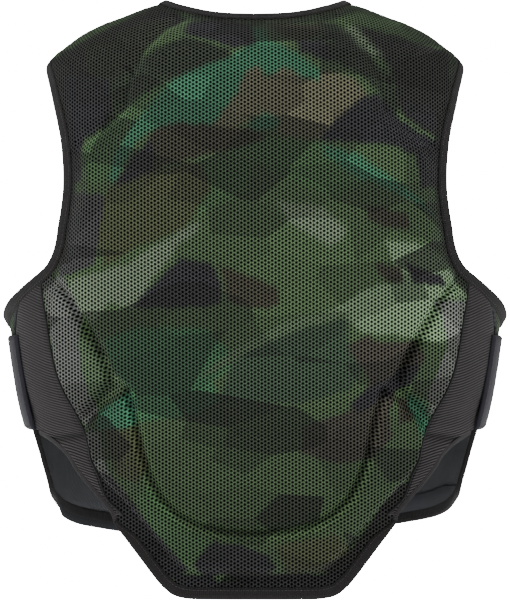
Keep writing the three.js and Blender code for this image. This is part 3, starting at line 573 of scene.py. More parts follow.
# Dark and light tone, pitch in millimetres, depth of the bump in metres, roughness and sheen of each cloth
# for these ribbed cloths the dark tone is painted shade in the rib valleys and the light tone a painted
# highlight on the crests
ribbed = {
    "ribbed_elastic": ("#1e1b1c", "#504b4d", 1.1, 0.00012, 0.7, 0.08),
    "binding_tape": ("#0b0a0a", "#232020", 1.75, 0.0004, 0.8, 0.06),
    "overlock_trim": ("#100e0f", "#383536", 1.5, 0.0005, 0.75, 0.06),
    "piping": ("#08080a", "#17161a", 0.9, 0.0002, 0.6, 0.1),
    "thread": ("#1b1a1a", "#3c3a3a", 0.6, 0.0001, 0.6, 0.1),
    "zip_tape": ("#0e0e10", "#26262a", 1.2, 0.0001, 0.7, 0.1),
}
twills = {
    "tab_fabric": ("#15141a", "#25242d", 0.9, 0.00004, 0.6, 0.08),
    "lining": ("#1f2021", "#595b5f", 2.0, 0.0004, 0.7, 0.05),
    "facing": ("#1b1c1e", "#3a3c40", 1.2, 0.0001, 0.7, 0.05),
}
meshFabric = makeMeshFabric()
elasticCloth = makeRibbed("ribbed_elastic", *ribbed["ribbed_elastic"], cross=0.9, dyed=True)
bindingCloth = makeRibbed("binding_tape", *ribbed["binding_tape"])
trimCloth = makeRibbed("overlock_trim", *ribbed["overlock_trim"])
pipingCloth = makeRibbed("piping", *ribbed["piping"])
threadCloth = makeRibbed("thread", *ribbed["thread"])
zipCloth = makeRibbed("zip_tape", *ribbed["zip_tape"])
tabCloth = makeTwill("tab_fabric", *twills["tab_fabric"])
liningCloth = makeTwill("lining", *twills["lining"])
facingCloth = makeTwill("facing", *twills["facing"])
print("materials made")

# Printed pattern of the mesh, in angular patches. Their corners are pixel positions that were read from the
# photo at three times its size. Later patches cover earlier ones.
# "deep" is olive darkened as painted shade over the shoulder on the left; the grey #696c68 is ash darkened as
# painted shade on the left flank; "ash" and "sage" are print colours made lighter as painted light on the
# flanks
dyeCodes = {
    "moss": "#4b6640", "olive": "#4a5333", "brown": "#3b392a", "teal": "#3a7c5a", "fern": "#4c7346",
    "pale": "#6d7f65", "mist": "#5c7654", "sage": "#7a9771", "slate": "#27252d", "smoke": "#424144",
    "ash": "#7d817b", "pine": "#2a3626", "deep": "#24291f", "night": "#232523", "tan": "#66654e",
    "bark": "#423e34", "shadedAsh": "#696c68", "leaf": "#38523a", "glade": "#407b50",
}
dyes = {name: linear(code) for name, code in dyeCodes.items()}
# Millimetres of a pixel of the photo at the back, the enlargement, and the photo's middle in its pixels
# and in millimetres down the vest. The fronts show another stretch of the same print.
chartLook = {"pixel": 0.892, "enlarged": 3, "middle": (255, 300), "down": 274.6, "raggedness": 0.175,
             "frontAcross": -0.93, "frontDown": 0.97}
chart = [
    ("night", [(140, 170), (480, 0), (560, 60), (430, 120), (400, 230), (330, 380), (200, 440)]),
    # painted shade: a darker olive over the shoulder on the left
    ("deep", [(250, 130), (450, 60), (520, 60), (440, 150), (400, 220), (300, 250), (260, 200)]),
    ("pine", [(300, 260), (430, 180), (560, 130), (690, 170), (690, 200), (600, 225), (520, 265),
              (400, 340), (330, 370)]),
    ("slate", [(190, 220), (330, 240), (340, 340), (250, 420), (265, 545), (200, 560)]),
    ("fern", [(330, 370), (430, 300), (520, 265), (440, 350), (395, 410), (360, 480), (345, 545),
              (300, 560), (262, 450)]),
    ("slate", [(560, 75), (660, 55), (700, 85), (735, 125), (742, 162), (700, 168), (640, 140),
               (600, 130), (560, 125)]),
    ("slate", [(690, 60), (770, 95), (790, 155), (735, 162), (712, 110)]),
    ("brown", [(800, 80), (960, 85), (950, 130), (900, 150), (850, 130)]),
    ("slate", [(880, 145), (1010, 130), (1040, 215), (960, 200), (900, 180)]),
    ("teal", [(755, 95), (790, 100), (810, 140), (900, 190), (950, 230), (950, 262), (905, 252),
              (850, 222), (800, 252), (770, 215), (740, 235), (715, 290), (680, 340), (665, 390),
              (600, 385), (540, 380), (470, 400), (430, 430), (390, 490), (365, 550), (345, 545),
              (360, 480), (395, 410), (440, 350), (520, 265), (600, 225), (690, 195), (740, 162),
              (770, 150)]),
    ("tan", [(740, 235), (768, 215), (800, 255), (850, 222), (905, 255), (950, 262), (960, 228),
             (1050, 250), (1090, 292), (1060, 330), (990, 382), (945, 430), (900, 440), (840, 420),
             (832, 372), (790, 355), (730, 382), (700, 402), (640, 392), (680, 340), (715, 290)]),
    ("brown", [(470, 400), (540, 380), (660, 390), (760, 402), (800, 422), (760, 442), (640, 470),
               (560, 490), (500, 505), (470, 530), (440, 540), (455, 500), (470, 465), (455, 430)]),
    ("teal", [(745, 388), (800, 352), (842, 376), (815, 402), (770, 402)]),
    ("fern", [(600, 492), (760, 442), (840, 420), (960, 440), (1000, 480), (1090, 540), (1000, 600),
              (900, 560), (760, 490), (740, 580), (600, 650), (560, 560)]),
    ("teal", [(940, 440), (1060, 470), (1200, 570), (1290, 645), (1200, 625), (1090, 560), (1000, 500)]),
    ("olive", [(350, 560), (470, 530), (560, 495), (610, 500), (640, 570), (560, 690), (420, 745),
               (335, 800), (300, 700), (330, 610)]),
    ("slate", [(362, 558), (412, 480), (460, 430), (482, 470), (470, 512), (430, 540), (396, 556)]),
    ("slate", [(940, 432), (990, 382), (1060, 312), (1122, 288), (1160, 312), (1200, 362), (1290, 412),
               (1350, 420), (1350, 565), (1240, 565), (1225, 472), (1170, 450), (1090, 440),
               (1000, 436)]),
    ("night", [(1050, 70), (1350, 150), (1350, 420), (1290, 405), (1200, 345), (1180, 235), (1130, 150)]),
    ("pine", [(950, 60), (1020, 75), (1120, 180), (1170, 230), (1192, 290), (1192, 355), (1150, 300),
              (1080, 250), (1000, 205), (960, 140)]),
    ("pale", [(1025, 78), (1065, 80), (1150, 165), (1146, 180), (1080, 145)]),
    ("slate", [(1200, 300), (1310, 330), (1300, 390), (1220, 350)]),
    ("moss", [(1000, 600), (1090, 545), (1200, 600), (1300, 660), (1330, 730), (1250, 745), (1140, 730),
              (1040, 700)]),
    ("brown", [(1080, 618), (1200, 642), (1215, 692), (1150, 690), (1090, 660)]),
    # print colour, made lighter as painted light on the right flank
    ("sage", [(1140, 725), (1260, 738), (1340, 790), (1410, 880), (1400, 985), (1330, 1030),
              (1200, 1000), (1080, 990), (1000, 920), (1100, 860), (1180, 850), (1160, 780)]),
    ("brown", [(1105, 788), (1185, 800), (1192, 850), (1140, 842)]),
    ("slate", [(1200, 790), (1300, 828), (1320, 862), (1220, 852)]),
    ("pale", [(828, 608), (960, 625), (1032, 690), (1012, 722), (980, 737), (900, 692), (858, 662)]),
    ("smoke", [(200, 575), (335, 590), (318, 700), (300, 800), (190, 840), (180, 700)]),
    ("pale", [(612, 662), (597, 692), (542, 742), (470, 832), (420, 925), (340, 905), (300, 960),
              (235, 920), (228, 842), (300, 822), (400, 792), (470, 742), (560, 690)]),
    ("brown", [(660, 795), (760, 828), (835, 862), (832, 905), (800, 925), (690, 905)]),
    ("slate", [(400, 920), (430, 895), (542, 778), (640, 790), (668, 850), (662, 905), (640, 916)]),
    # painted shade: a darker ash on the left flank
    ("shadedAsh", [(120, 830), (215, 840), (245, 900), (252, 1000), (262, 1100), (292, 1232), (262, 1285),
              (215, 1235), (160, 1080)]),
    ("mist", [(248, 1018), (330, 1010), (352, 1100), (385, 1162), (352, 1192), (290, 1205), (262, 1120)]),
    ("glade", [(325, 1012), (420, 975), (620, 978), (705, 1058), (695, 1092), (640, 1132), (660, 1192),
               (590, 1232), (430, 1256), (415, 1202), (392, 1160), (350, 1100)]),
    ("leaf", [(700, 1062), (880, 980), (1030, 950), (1040, 1030), (1080, 1100), (1040, 1160),
              (900, 1200), (660, 1192)]),
    ("mist", [(600, 1122), (700, 1042), (860, 955), (1010, 920), (1050, 938), (890, 982), (745, 1046),
              (655, 1104)]),
    ("bark", [(1030, 1030), (1090, 1000), (1130, 1020), (1242, 1020), (1262, 1062), (1240, 1112),
              (1190, 1162), (1150, 1222), (1162, 1302), (1100, 1372), (1000, 1382), (900, 1350),
              (905, 1270), (1040, 1222), (1100, 1142), (1080, 1100)]),
    ("slate", [(1040, 1202), (1100, 1150), (1200, 1100), (1252, 1088), (1212, 1162), (1130, 1192),
               (1062, 1232)]),
    # print colour, made lighter as painted light on the flank
    ("ash", [(1300, 900), (1410, 905), (1400, 1000), (1380, 1090), (1330, 1220), (1290, 1250),
             (1270, 1180), (1330, 1030)]),
    ("brown", [(1180, 1188), (1232, 1200), (1242, 1252), (1182, 1262)]),
    ("teal", [(1218, 1180), (1262, 1200), (1292, 1260), (1272, 1330), (1242, 1282)]),
    ("teal", [(298, 1232), (390, 1168), (422, 1202), (416, 1270), (308, 1282)]),
    # print colour, made lighter as painted light on the flank
    ("ash", [(255, 1290), (312, 1288), (332, 1400), (395, 1480), (340, 1440), (270, 1370)]),
    ("olive", [(330, 1282), (420, 1272), (452, 1382), (430, 1442), (362, 1422)]),
    ("slate", [(290, 1395), (345, 1425), (405, 1500), (470, 1590), (535, 1665), (570, 1705), (480, 1760),
               (420, 1690), (290, 1500)]),
    ("fern", [(450, 1452), (560, 1582), (640, 1620), (642, 1662), (560, 1692), (478, 1600), (420, 1500)]),
    ("olive", [(822, 1632), (1000, 1600), (1062, 1662), (1022, 1712), (860, 1718)]),
    ("slate", [(588, 1685), (642, 1622), (722, 1632), (802, 1662), (832, 1702), (800, 1722), (600, 1718)]),
    ("night", [(960, 1706), (1055, 1650), (1130, 1545), (1185, 1445), (1245, 1455), (1140, 1650),
               (1060, 1760)]),
    ("slate", [(510, 1722), (1050, 1722), (1010, 1775), (550, 1780)]),
    ("moss", [(640, 1726), (700, 1726), (690, 1745), (650, 1745)]),
]


# Evens a grid out with its neighbours
def softened(grid, rounds):
    for _ in range(rounds):
        around = (grid[:-2, 1:-1] + grid[2:, 1:-1] + grid[1:-1, :-2] + grid[1:-1, 2:]) / 4
        grid[1:-1, 1:-1] = 0.5 * grid[1:-1, 1:-1] + 0.5 * around
    return grid


# Patches laid over a piece by its height and its distance from the centre
def dyed(spots, onFront=False):
    look = chartLook
    points = formPoint(spots[..., 0], spots[..., 1])
    x = points[..., 0] * (look["frontAcross"] if onFront else 1)
    down = spots[..., 1] * (look["frontDown"] if onFront else 1)
    waver = np.stack([np.sin(down * 0.31) + np.sin(x * 0.17 + down * 0.23),
                      np.sin(x * 0.29) + np.sin(down * 0.19 - x * 0.21)], axis=-1)
    flat = np.stack([x, down], axis=-1) + look["raggedness"] * waver
    colours = np.empty(spots.shape[:-1] + (4,))
    colours[...] = dyes["moss"]
    for dyeAndPaintedLight, outline in chart:
        outlineMm = (np.array(outline, float) / look["enlarged"] - look["middle"]) * look["pixel"]
        outlineMm = outlineMm + [0, look["down"]]
        low, high = outlineMm.min(0), outlineMm.max(0)
        near = ((flat >= low) & (flat <= high)).all(-1)
        inside = np.zeros(near.shape, bool)
        inside[near] = isInside(flat[near], outlineMm)
        colours[inside] = dyes[dyeAndPaintedLight]
    return softened(colours, 1)


# Sizes shared by the pieces, in millimetres
cloth = {
    "backWall": 4, "frontWall": 3.5, "wingWall": 2.6, "neck": 8, "armhole": 11, "hem": 10, "trim": 4.5,
    "hemOpening": 28, "frontSide": 5, "frontHem": 9, "piping": 2.1, "zip": 25, "gap": 0.15,
    "cadGap": 0.4, "cadPiping": 1.6,
}
# How many steps each tape's route has
steps = {"neck": 220, "armhole": 400, "wing": 360, "tail": 160, "trim": 90, "frontSide": 70, "frontHem": 130,
         "piping": 150}

# Heights of the openings and edges of the right half, in millimetres down
edgeAt = {"backNeck": 17.7, "frontNeck": 95, "armholeTop": 57, "armholeFoot": 289, "seamTop": 250,
          "tabFoot": 392, "wingPoint": 474, "frontCorner": 462, "frontFoot": 500}
# the wing's outer side meets the armhole at this turn
wingTopTurn = 76
# how far the binding lies outwards behind the arm, and between which heights it does so
armShift = {"out": 4, "from": 70, "to": 235, "over": 30}

# Edge curves: share of the form's half width, and share of the span that each is given below
backNeckRows = [(0, 1), (0.225, 0.94), (0.4, 0.78), (0.63, 0.49), (0.9, 0.13), (1, 0)]
frontNeckRows = [(0.816, 0.09), (0.567, 0.235), (0.4, 0.44), (0.288, 0.665), (0.197, 0.845),
                 (0.103, 0.96), (0, 1)]
backArmholeRows = [(1, 0), (0.982, 0.06), (0.937, 0.138), (0.892, 0.247), (0.863, 0.354), (0.84, 0.513),
                   (0.843, 0.675), (0.853, 0.741), (0.873, 0.803), (0.921, 0.859), (0.972, 0.93)]
frontArmholeRows = [(1, 1), (0.965, 0.965), (0.9, 0.88), (0.845, 0.79), (0.815, 0.68), (0.808, 0.55),
                    (0.825, 0.4), (0.865, 0.25), (0.925, 0.12), (0.98, 0.05), (1, 0)]
trimRows = [(0.956, 0), (0.905, 0.095), (0.86, 0.22), (0.832, 0.39), (0.794, 0.56), (0.752, 0.7),
            (0.708, 0.835), (0.684, 0.93), (0.678, 1)]
# the tail's end hangs a little below the back's length
tailRows = [(0.564, 0.448), (0.471, 0.79), (0.44, 0.88), (0.392, 0.974), (0.33, 1.015), (0.18, 1.024),
            (0, 1.024)]
seamRows = [(0.849, 0.06), (0.832, 0.13), (0.826, 0.24), (0.819, 0.365), (0.804, 0.44), (0.775, 0.52),
            (0.748, 0.6), (0.742, 0.68), (0.743, 0.74), (0.725, 0.8), (0.7, 0.9)]
wingSideRows = [(0.968, 0.2), (0.975, 0.35), (0.978, 0.55), (0.974, 0.8), (0.965, 0.985)]
# the front's edge goes by the turn in degrees, and the share of the way down
frontSideRows = [(80.5, 0.12), (83.5, 0.21), (85.5, 0.35), (88, 0.52), (90, 0.67), (90.5, 0.86), (92, 0.95)]
frontHemRows = [(96.6, 0), (100.8, 0.22), (106.8, 0.4), (114.7, 0.54), (128, 0.72), (150, 0.92), (180, 1)]


def turnsOf(rows, top, bottom):
    return [(turn, top + (bottom - top) * share) for turn, share in rows]


# Edge lines
neckLine = smoothLine(np.vstack([spotsOf(backNeckRows, 0, edgeAt["backNeck"]),
                                 spotsOf(frontNeckRows, 0, edgeAt["frontNeck"], True)]))
atShoulder = int(np.argmax(neckLine[:, 0] >= 90))
armholeSpan = edgeAt["armholeTop"], edgeAt["armholeFoot"]
armholeLine = smoothLine(np.vstack([spotsOf(backArmholeRows, *armholeSpan),
                                    spotsOf(frontArmholeRows, *armholeSpan, True)]))
# the binding lies a little further out behind the arm
fallen = armholeLine[:, 1]
behindArm = ease((fallen - armShift["from"]) / armShift["over"]) * (armholeLine[:, 0] < 90)
behindArm = behindArm * ease((armShift["to"] - fallen) / armShift["over"])
armholeLine = inset(armholeLine, -armShift["out"] * behindArm)
underarm = inset(armholeLine, cloth["armhole"] + cloth["cadGap"])
atSeam = int(np.argmax(armholeLine[:, 1] >= edgeAt["seamTop"]))
atWing = atSeam + int(np.argmax(underarm[atSeam:, 0] >= wingTopTurn))
point, corner = edgeAt["wingPoint"], edgeAt["frontCorner"]
lowerLine = smoothLine(np.vstack([spotsOf(trimRows, edgeAt["tabFoot"] + cloth["trim"], point),
                                  spotsOf(tailRows, point, form["backLength"])]))
atPoint = int(np.argmax(lowerLine[:, 1] >= point))
seamFoot = inset(lowerLine[atPoint:], cloth["hem"] + 3 * cloth["cadGap"])[0] - [0, cloth["cadPiping"]]
seamTop = edgeAt["seamTop"] + cloth["armhole"]
seamLine = smoothLine(np.vstack([underarm[atSeam], spotsOf(seamRows, seamTop, point), seamFoot]))
wingSideLine = smoothLine(np.vstack([underarm[atWing],
                                     spotsOf(wingSideRows, form["chestDrop"], edgeAt["tabFoot"])]))
frontEdgeLine = smoothLine([underarm[atWing + 3], *turnsOf(frontSideRows, form["chestDrop"], corner),
                            *turnsOf(frontHemRows, corner, edgeAt["frontFoot"])])
atCorner = int(np.argmax(frontEdgeLine[:, 1] >= corner))


# Turn of the line beside the zip, at a distance from the front's centre
def zipTurn(down, reach):
    return 180 - np.degrees(np.arctan2(reach, frontAt(down)))


def cutAtZip(line, reach):
    end = int(np.argmax(line[:, 0] >= zipTurn(line[:, 1], reach)))
    part = line[:end + 1].copy()
    part[-1, 0] = zipTurn(part[-1, 1], reach)
    return part


# The hem's binding narrows where it meets the trim of the wings
def hemWidth(line):
    lengths = lengthsOf(formPoint(line[:, 0], line[:, 1]))
    away = lengths[-1] - lengths if abs(line[0, 0]) < abs(line[-1, 0]) else lengths
    return cloth["trim"] + (cloth["hem"] - cloth["trim"]) * ease(away / cloth["hemOpening"])


def bothSides(line):
    return np.vstack([mirrored(line[1:][::-1]), line])


# The shoulder's line at a turn, in even steps from its tip to the neck
def finerShoulder(turn, count, neckDown, tipDown):
    line = np.stack([np.full(60, float(turn)), np.linspace(tipDown, neckDown, 60)], axis=-1)
    return evenSteps(line, count)


# Flat places on the back from rows of two shares: of the half width, and of the back's length
def flatRows(rows):
    return flatOf(spotsOf(rows, 0, form["backLength"]))


def acrossCentre(line):
    line = np.array(line, float)
    return np.vstack([line, (line * [-1, 1])[::-1]])


yokeLine = flatRows([(0.46, 0.033), (0.51, 0.057), (0.54, 0.095), (0.575, 0.146), (0.585, 0.192),
                     (0.682, 0.228), (0.79, 0.25)])
groove = flatRows([(0.55, 0.64), (0.522, 0.654), (0.511, 0.67), (0.502, 0.69), (0.496, 0.72),
                   (0.492, 0.755), (0.472, 0.797), (0.432, 0.834), (0.356, 0.862), (0.263, 0.88),
                   (0.144, 0.89), (0, 0.894)])
padFoot = flatRows([(0.745, 0.745), (0.737, 0.771), (0.694, 0.804), (0.614, 0.84), (0.504, 0.886),
                    (0.409, 0.93), (0.356, 0.95), (0.292, 0.96), (0, 0.963)])
# The pads' sides and the apron's top, drawn on the flat cloth in millimetres round and down
padSide = [(185, 140), (205, 180), (198, 222), (196, 240), (186, 256), (178, 262), (163, 276),
           (147, 298), (133, 322), (125, 340), (121, 352), (140, 372), (155, 386), (157, 393)]
flankPad = [(186, 262), (181, 263), (171, 272), (156, 294), (141, 318), (132, 336), (130, 346),
            (138, 357), (152, 371), (162, 378), (173, 372), (182, 350), (188, 320), (190, 285)]
apronTop = [(111, 353), (124, 360), (140, 373), (157, 391)]
bodyPad = acrossCentre(np.vstack([[(0, -5), (16, -5)], yokeLine[1:6], padSide, padFoot]))
apron = acrossCentre(np.vstack([groove[:1:-1], apronTop, padFoot]))


# Heights and widths are in millimetres
backLook = {
    "columns": 200, "rows": 216, "shoulderShare": 0.56, "armholeShare": 0.46, "height": 12, "roll": 8,
    "flank": 9, "flankRoll": 9, "yoke": 2, "yokeRise": 7, "yokeFall": 24, "upperFall": 30, "edge": 7,
    "yokeSeam": 3, "yokeSeamWidth": 4, "grooveDepth": 7.5, "grooveWidth": 3.8, "apronSeam": 5,
    "apronSeamWidth": 3.2, "apronSwell": 2.6, "swellAway": 11, "swellWidth": 8,
    # painted shade beside the neck, shoulder and armhole edges and low down, painted highlights along the
    # folds and on the flanks
    "upperEdgeShade": 0.3, "upperShadeFrom": 8, "upperShadeOver": 3, "lowShade": 0.3, "lowShadeFrom": 300, "lowShadeOver": 110,
    "foldHighlight": 0.7, "foldHighlightAway": 4.5, "foldWidth": 2,
    "flankHighlight": 0.4, "flankHighlightAt": (172, 300), "flankHighlightSize": (34, 62),
}


# Flat places folded over the centre, so that the left side reads as the right
def foldedFlat(spots):
    flat = flatOf(spots)
    flat[..., 0] = np.abs(flat[..., 0])
    return flat


def backRelief(spots, edges):
    look = backLook
    flat = foldedFlat(spots)
    upper = distanceTo(flat, edges["upper"])
    side = distanceTo(flat, edges["side"])
    body = look["height"] * roll(flat, bodyPad, look["roll"])
    toYoke = distanceTo(flat, yokeLine)
    body *= 0.4 + 0.6 * ease(toYoke / look["yokeFall"])
    body *= 0.25 + 0.75 * ease(upper / look["upperFall"])
    height = np.maximum(body, look["flank"] * roll(flat, flankPad, look["flankRoll"]))
    # shoulder foam, a step lower than the back foam
    shoulder = isInside(flat, [(60, -20), *yokeLine[1:], (210, 150), (330, 100), (300, -20)])
    foam = look["yoke"] * ease(toYoke / look["yokeRise"])
    height = np.where(shoulder, np.maximum(height, foam), height)
    height -= look["yokeSeam"] * np.exp(-(toYoke / look["yokeSeamWidth"]) ** 2) * ease(upper / 12)
    toGroove = distanceTo(flat, groove)
    height -= look["grooveDepth"] * np.exp(-(toGroove / look["grooveWidth"]) ** 2)
    height -= look["apronSeam"] * np.exp(-(distanceTo(flat, apronTop) / look["apronSeamWidth"]) ** 2)
    # the apron swells a little below the groove
    swell = np.exp(-((toGroove - look["swellAway"]) / look["swellWidth"]) ** 2)
    height += look["apronSwell"] * swell * isInside(flat, apron)
    return np.maximum(height, 0) * ease(side / look["edge"]) * ease(upper / 8)


# Small gathers that the stitching leaves beside a bound edge
def gathers(spots, edge, reach=14, size=0.5):
    flat = foldedFlat(spots)
    away = distanceTo(flat, edge)
    along = flat[..., 0] * 0.31 + flat[..., 1] * 0.37
    wave = np.sin(along) * np.sin(along * 0.43 + 1.7) + 0.5 * np.sin(flat[..., 1] * 0.61 - flat[..., 0] * 0.2)
    return size * wave * np.exp(-away / reach) * ease(away / 4)


# The grid of the back's spots, and its bound edges as flat lines
def backGrid():
    look, gap = backLook, cloth["gap"]
    half = look["columns"] // 2
    shoulderSteps = int(half * look["shoulderShare"])
    rowsUp = int(look["rows"] * look["armholeShare"])
    armholeInner = inset(evenSteps(armholeLine[:atSeam + 1], rowsUp), cloth["armhole"] + gap)
    neckInner = inset(evenSteps(neckLine[:atShoulder + 1], half - shoulderSteps), cloth["neck"] + gap)
    seam = inset(evenSteps(seamLine, look["rows"] - rowsUp), cloth["piping"] / 2 + gap)
    tail = evenSteps(lowerLine[atPoint:], half)
    tail = inset(tail, hemWidth(tail) + gap)
    # just behind the side of the form, so that the back's and the front's walls keep apart
    shoulder = finerShoulder(89.95, shoulderSteps, neckInner[-1, 1], armholeInner[0, 1])[::-1]
    top = np.vstack([neckInner[:-1], shoulder])
    right = np.vstack([armholeInner[:-1], seam])
    right[0] = top[-1]
    bottom = tail[::-1].copy()
    bottom[-1] = right[-1]
    spots = patch(bothSides(bottom), bothSides(top), mirrored(right)[::-1], right[::-1], 40)
    edges = {"upper": flatOf(np.vstack([neckInner, shoulder, armholeInner]))[::4],
             "side": flatOf(np.vstack([seam, tail]))[::4]}
    return spots, edges


# The print, with painted shade beside the upper edges and low down, and painted highlights along the pads'
# folds and on the flanks
def backColours(spots, upper):
    look = backLook
    flat = foldedFlat(spots)
    # painted shade: darker close to the neck, shoulder and armhole edges, where the mesh dips to the
    # bindings, and darker low down
    edgeShare = ease((distanceTo(flat, upper) - look["upperShadeFrom"]) / look["upperShadeOver"])
    tone = look["upperEdgeShade"] + (1 - look["upperEdgeShade"]) * edgeShare
    tone = tone * (1 - look["lowShade"] * ease((flat[..., 1] - look["lowShadeFrom"]) / look["lowShadeOver"]))
    # painted highlight: a lighter band just off the groove, the apron's top and the yoke line, and a lighter
    # patch on each flank
    toFold = np.min([distanceTo(flat, line) for line in (groove, apronTop, yokeLine)], axis=0)
    tone = tone * (1 + look["foldHighlight"] * np.exp(-((toFold - look["foldHighlightAway"]) / look["foldWidth"]) ** 2))
    flank = np.exp(-(((flat - look["flankHighlightAt"]) / look["flankHighlightSize"]) ** 2).sum(-1))
    tone = tone * (1 + look["flankHighlight"] * flank)
    colours = dyed(spots)
    colours[..., :3] *= tone[..., None]
    return colours


def makeBack():
    spots, edges = backGrid()
    height = softened(backRelief(spots, edges), 1)
    height = height + gathers(spots, edges["side"]) + gathers(spots, edges["upper"], 10, 0.35)
    outer = raised(spots, height)
    inner = raised(spots, -cloth["backWall"] + 0 * height)
    obj = clothWall("vest_back", outer, inner, fabricOf(spots), backColours(spots, edges["upper"]))
    return finished(obj, "back_panel", [meshFabric, liningCloth])


makeBack()
print("back made")


frontLook = {
    "columns": 84, "rows": 130, "shoulderShare": 0.45, "sideShare": 0.34, "wingTurn": 77.5,
}


# Width of the front's binding, which grows towards the hem
def frontWidths(count, sideSteps):
    share = np.arange(count) / sideSteps
    return cloth["frontSide"] + (cloth["frontHem"] - cloth["frontSide"]) * ease((share - 0.75) * 2)


# The grid of the right front's spots, and its bound edges as a flat line
def frontGrid():
    look, gap = frontLook, cloth["gap"]
    reach = cloth["zip"] / 2 + gap
    shoulderSteps = int(look["columns"] * look["shoulderShare"])
    neckEdge = evenSteps(cutAtZip(neckLine[atShoulder:], reach), look["columns"] - shoulderSteps)
    neck = inset(neckEdge, cloth["neck"] + gap)
    neck[-1, 0] = zipTurn(neck[-1, 1], reach)
    wingStart = atSeam + int(np.argmax(armholeLine[atSeam:, 0] >= look["wingTurn"]))
    sideRows = int(look["rows"] * look["sideShare"])
    armhole = inset(evenSteps(armholeLine[wingStart:], look["rows"] - sideRows), cloth["armhole"] + gap)
    hemLine = cutAtZip(frontEdgeLine[atCorner:], reach)
    sideLine = frontEdgeLine[:atCorner + 1]
    edge = np.vstack([evenSteps(sideLine, sideRows)[:-1], evenSteps(hemLine, look["columns"])])
    edge = inset(edge, -frontWidths(len(edge), sideRows) - gap)
    edge[-1, 0] = zipTurn(edge[-1, 1], reach)
    shoulder = finerShoulder(90.05, shoulderSteps, neck[0, 1], armhole[-1, 1])
    top = np.vstack([shoulder, neck[1:]])
    hem = edge[sideRows:]
    left = np.vstack([edge[:sideRows + 1][::-1], armhole[1:-1], top[:1]])
    zipLine = np.stack([np.zeros(len(left)), np.linspace(hem[-1, 1], top[-1, 1], len(left))], axis=-1)
    zipLine[:, 0] = zipTurn(zipLine[:, 1], reach)
    spots = patch(hem, top, left, zipLine, 0)
    return spots, flatOf(np.vstack([hem, neck, armhole]))[::4]


def makeFront(word, sign):
    spots, edges = frontGrid()
    height = gathers(spots, edges, 12, 0.4)
    colours = dyed(spots if sign > 0 else mirrored(spots), True)
    if sign < 0:
        spots = mirrored(spots)[:, ::-1]
        height, colours = height[:, ::-1], colours[:, ::-1]
    outer = raised(spots, height)
    inner = raised(spots, -cloth["frontWall"] + 0 * height)
    obj = clothWall(f"vest_front_{word}", outer, inner, fabricOf(spots), colours)
    return finished(obj, f"front_panel_{word}", [meshFabric, liningCloth])


wingLook = {
    "ribStep": 2.65, "ribHeight": 1.0, "rowsPerRib": 5, "columns": 36, "slant": 0.26,
    "foldDown": 397, "foldDepth": 1.6, "foldWidth": 3.2, "swellDown": 388, "swell": 1.3, "swellWidth": 7.0,
    # the last two set the wing's colour: painted shade in the rib valleys and the fold, painted highlight on
    # the rib crests
    "foldSlope": 5, "dip": 0.5, "valleyShade": 0.02, "ribHighlight": 1.35,
}


# Turn of a falling line at a given height
def turnAt(line, down):
    order = np.argsort(line[:, 1])
    return np.interp(down, line[order, 1], line[order, 0])


# The grid of the right wing's spots between the seam and the wing's outer side
def wingGrid():
    look, gap = wingLook, cloth["gap"]
    armholeInner = inset(evenSteps(armholeLine, steps["wing"])[:-1], cloth["armhole"] + gap, True)
    under = armholeInner[(armholeInner[:, 0] < 90) & (armholeInner[:, 1] > 255)]
    seam = inset(seamLine, -cloth["piping"] / 2 - gap)
    trim = inset(lowerLine[:atPoint - 4], cloth["trim"] + gap)
    top = max(seam[:, 1].min(), under[:, 1].min()) + 0.3
    foot = min(seam[:, 1].max(), trim[:, 1].max()) - 0.3
    downs = np.arange(foot, top, -look["ribStep"] / look["rowsPerRib"])
    start = turnAt(seam, downs)
    outer = turnAt(wingSideLine, downs)
    outer = np.where(downs < under[:, 1].max(), np.minimum(outer, turnAt(under, downs)), outer)
    outer = np.where(downs > trim[:, 1].min(), np.minimum(outer, turnAt(trim, downs)), outer)
    outer = np.maximum(outer, start + 0.15)
    u = np.linspace(0, 1, look["columns"] + 1)[None, :]
    turns = start[:, None] * (1 - u) + outer[:, None] * u
    return np.stack([turns, np.broadcast_to(downs[:, None], turns.shape)], axis=-1), u


def makeWing(word, sign):
    look = wingLook
    spots, u = wingGrid()
    down = spots[..., 1]
    # the ribs fall towards the seam
    across = flatOf(spots)[..., 0]
    phase = (down + look["slant"] * (across - across[:, :1]) + 0.5 * np.sin(across * 0.12)) / look["ribStep"]
    rib = np.abs(np.sin(math.pi * phase))
    slope = look["foldSlope"] * (u - 0.3)
    fold = np.exp(-((down - look["foldDown"] - slope) / look["foldWidth"]) ** 2)
    swell = np.exp(-((down - look["swellDown"] - slope) / look["swellWidth"]) ** 2)
    ends = ease(u / 0.08) * ease((1 - u) / 0.05)
    height = look["ribHeight"] * rib * ends - look["foldDepth"] * fold + look["swell"] * swell * ends
    height += look["dip"] * np.sin(down * 0.09 + u * 2.2) * ends
    fabric = fabricOf(spots)
    # painted light: the rib crests lightened as highlight, the valleys and the fold darkened as shade
    tone = (look["valleyShade"] + look["ribHighlight"] * rib ** 4 * (1 - 0.6 * fold))[..., None]
    colours = np.concatenate([np.repeat(tone, 3, axis=-1), np.ones_like(tone)], axis=-1)
    if sign < 0:
        spots, height, fabric = mirrored(spots)[:, ::-1], height[:, ::-1], fabric[:, ::-1]
        colours = colours[:, ::-1]
    outer = raised(spots, height)
    inner = raised(spots, height * 0.3 - cloth["wingWall"])
    obj = clothWall(f"vest_wing_{word}", outer, inner, fabric, colours, skip=8)
    return finished(obj, f"side_wing_{word}", [elasticCloth, elasticCloth])


tabLook = {
    "top": 306, "bottom": 392, "start": 0.956, "reach": 126, "narrowing": 0.12, "wall": 3, "gap": 0.6,
    "flare": 2.4, "length": 190, "rolled": 3.5, "wave": 0.35, "columns": 90, "rows": 44,
}


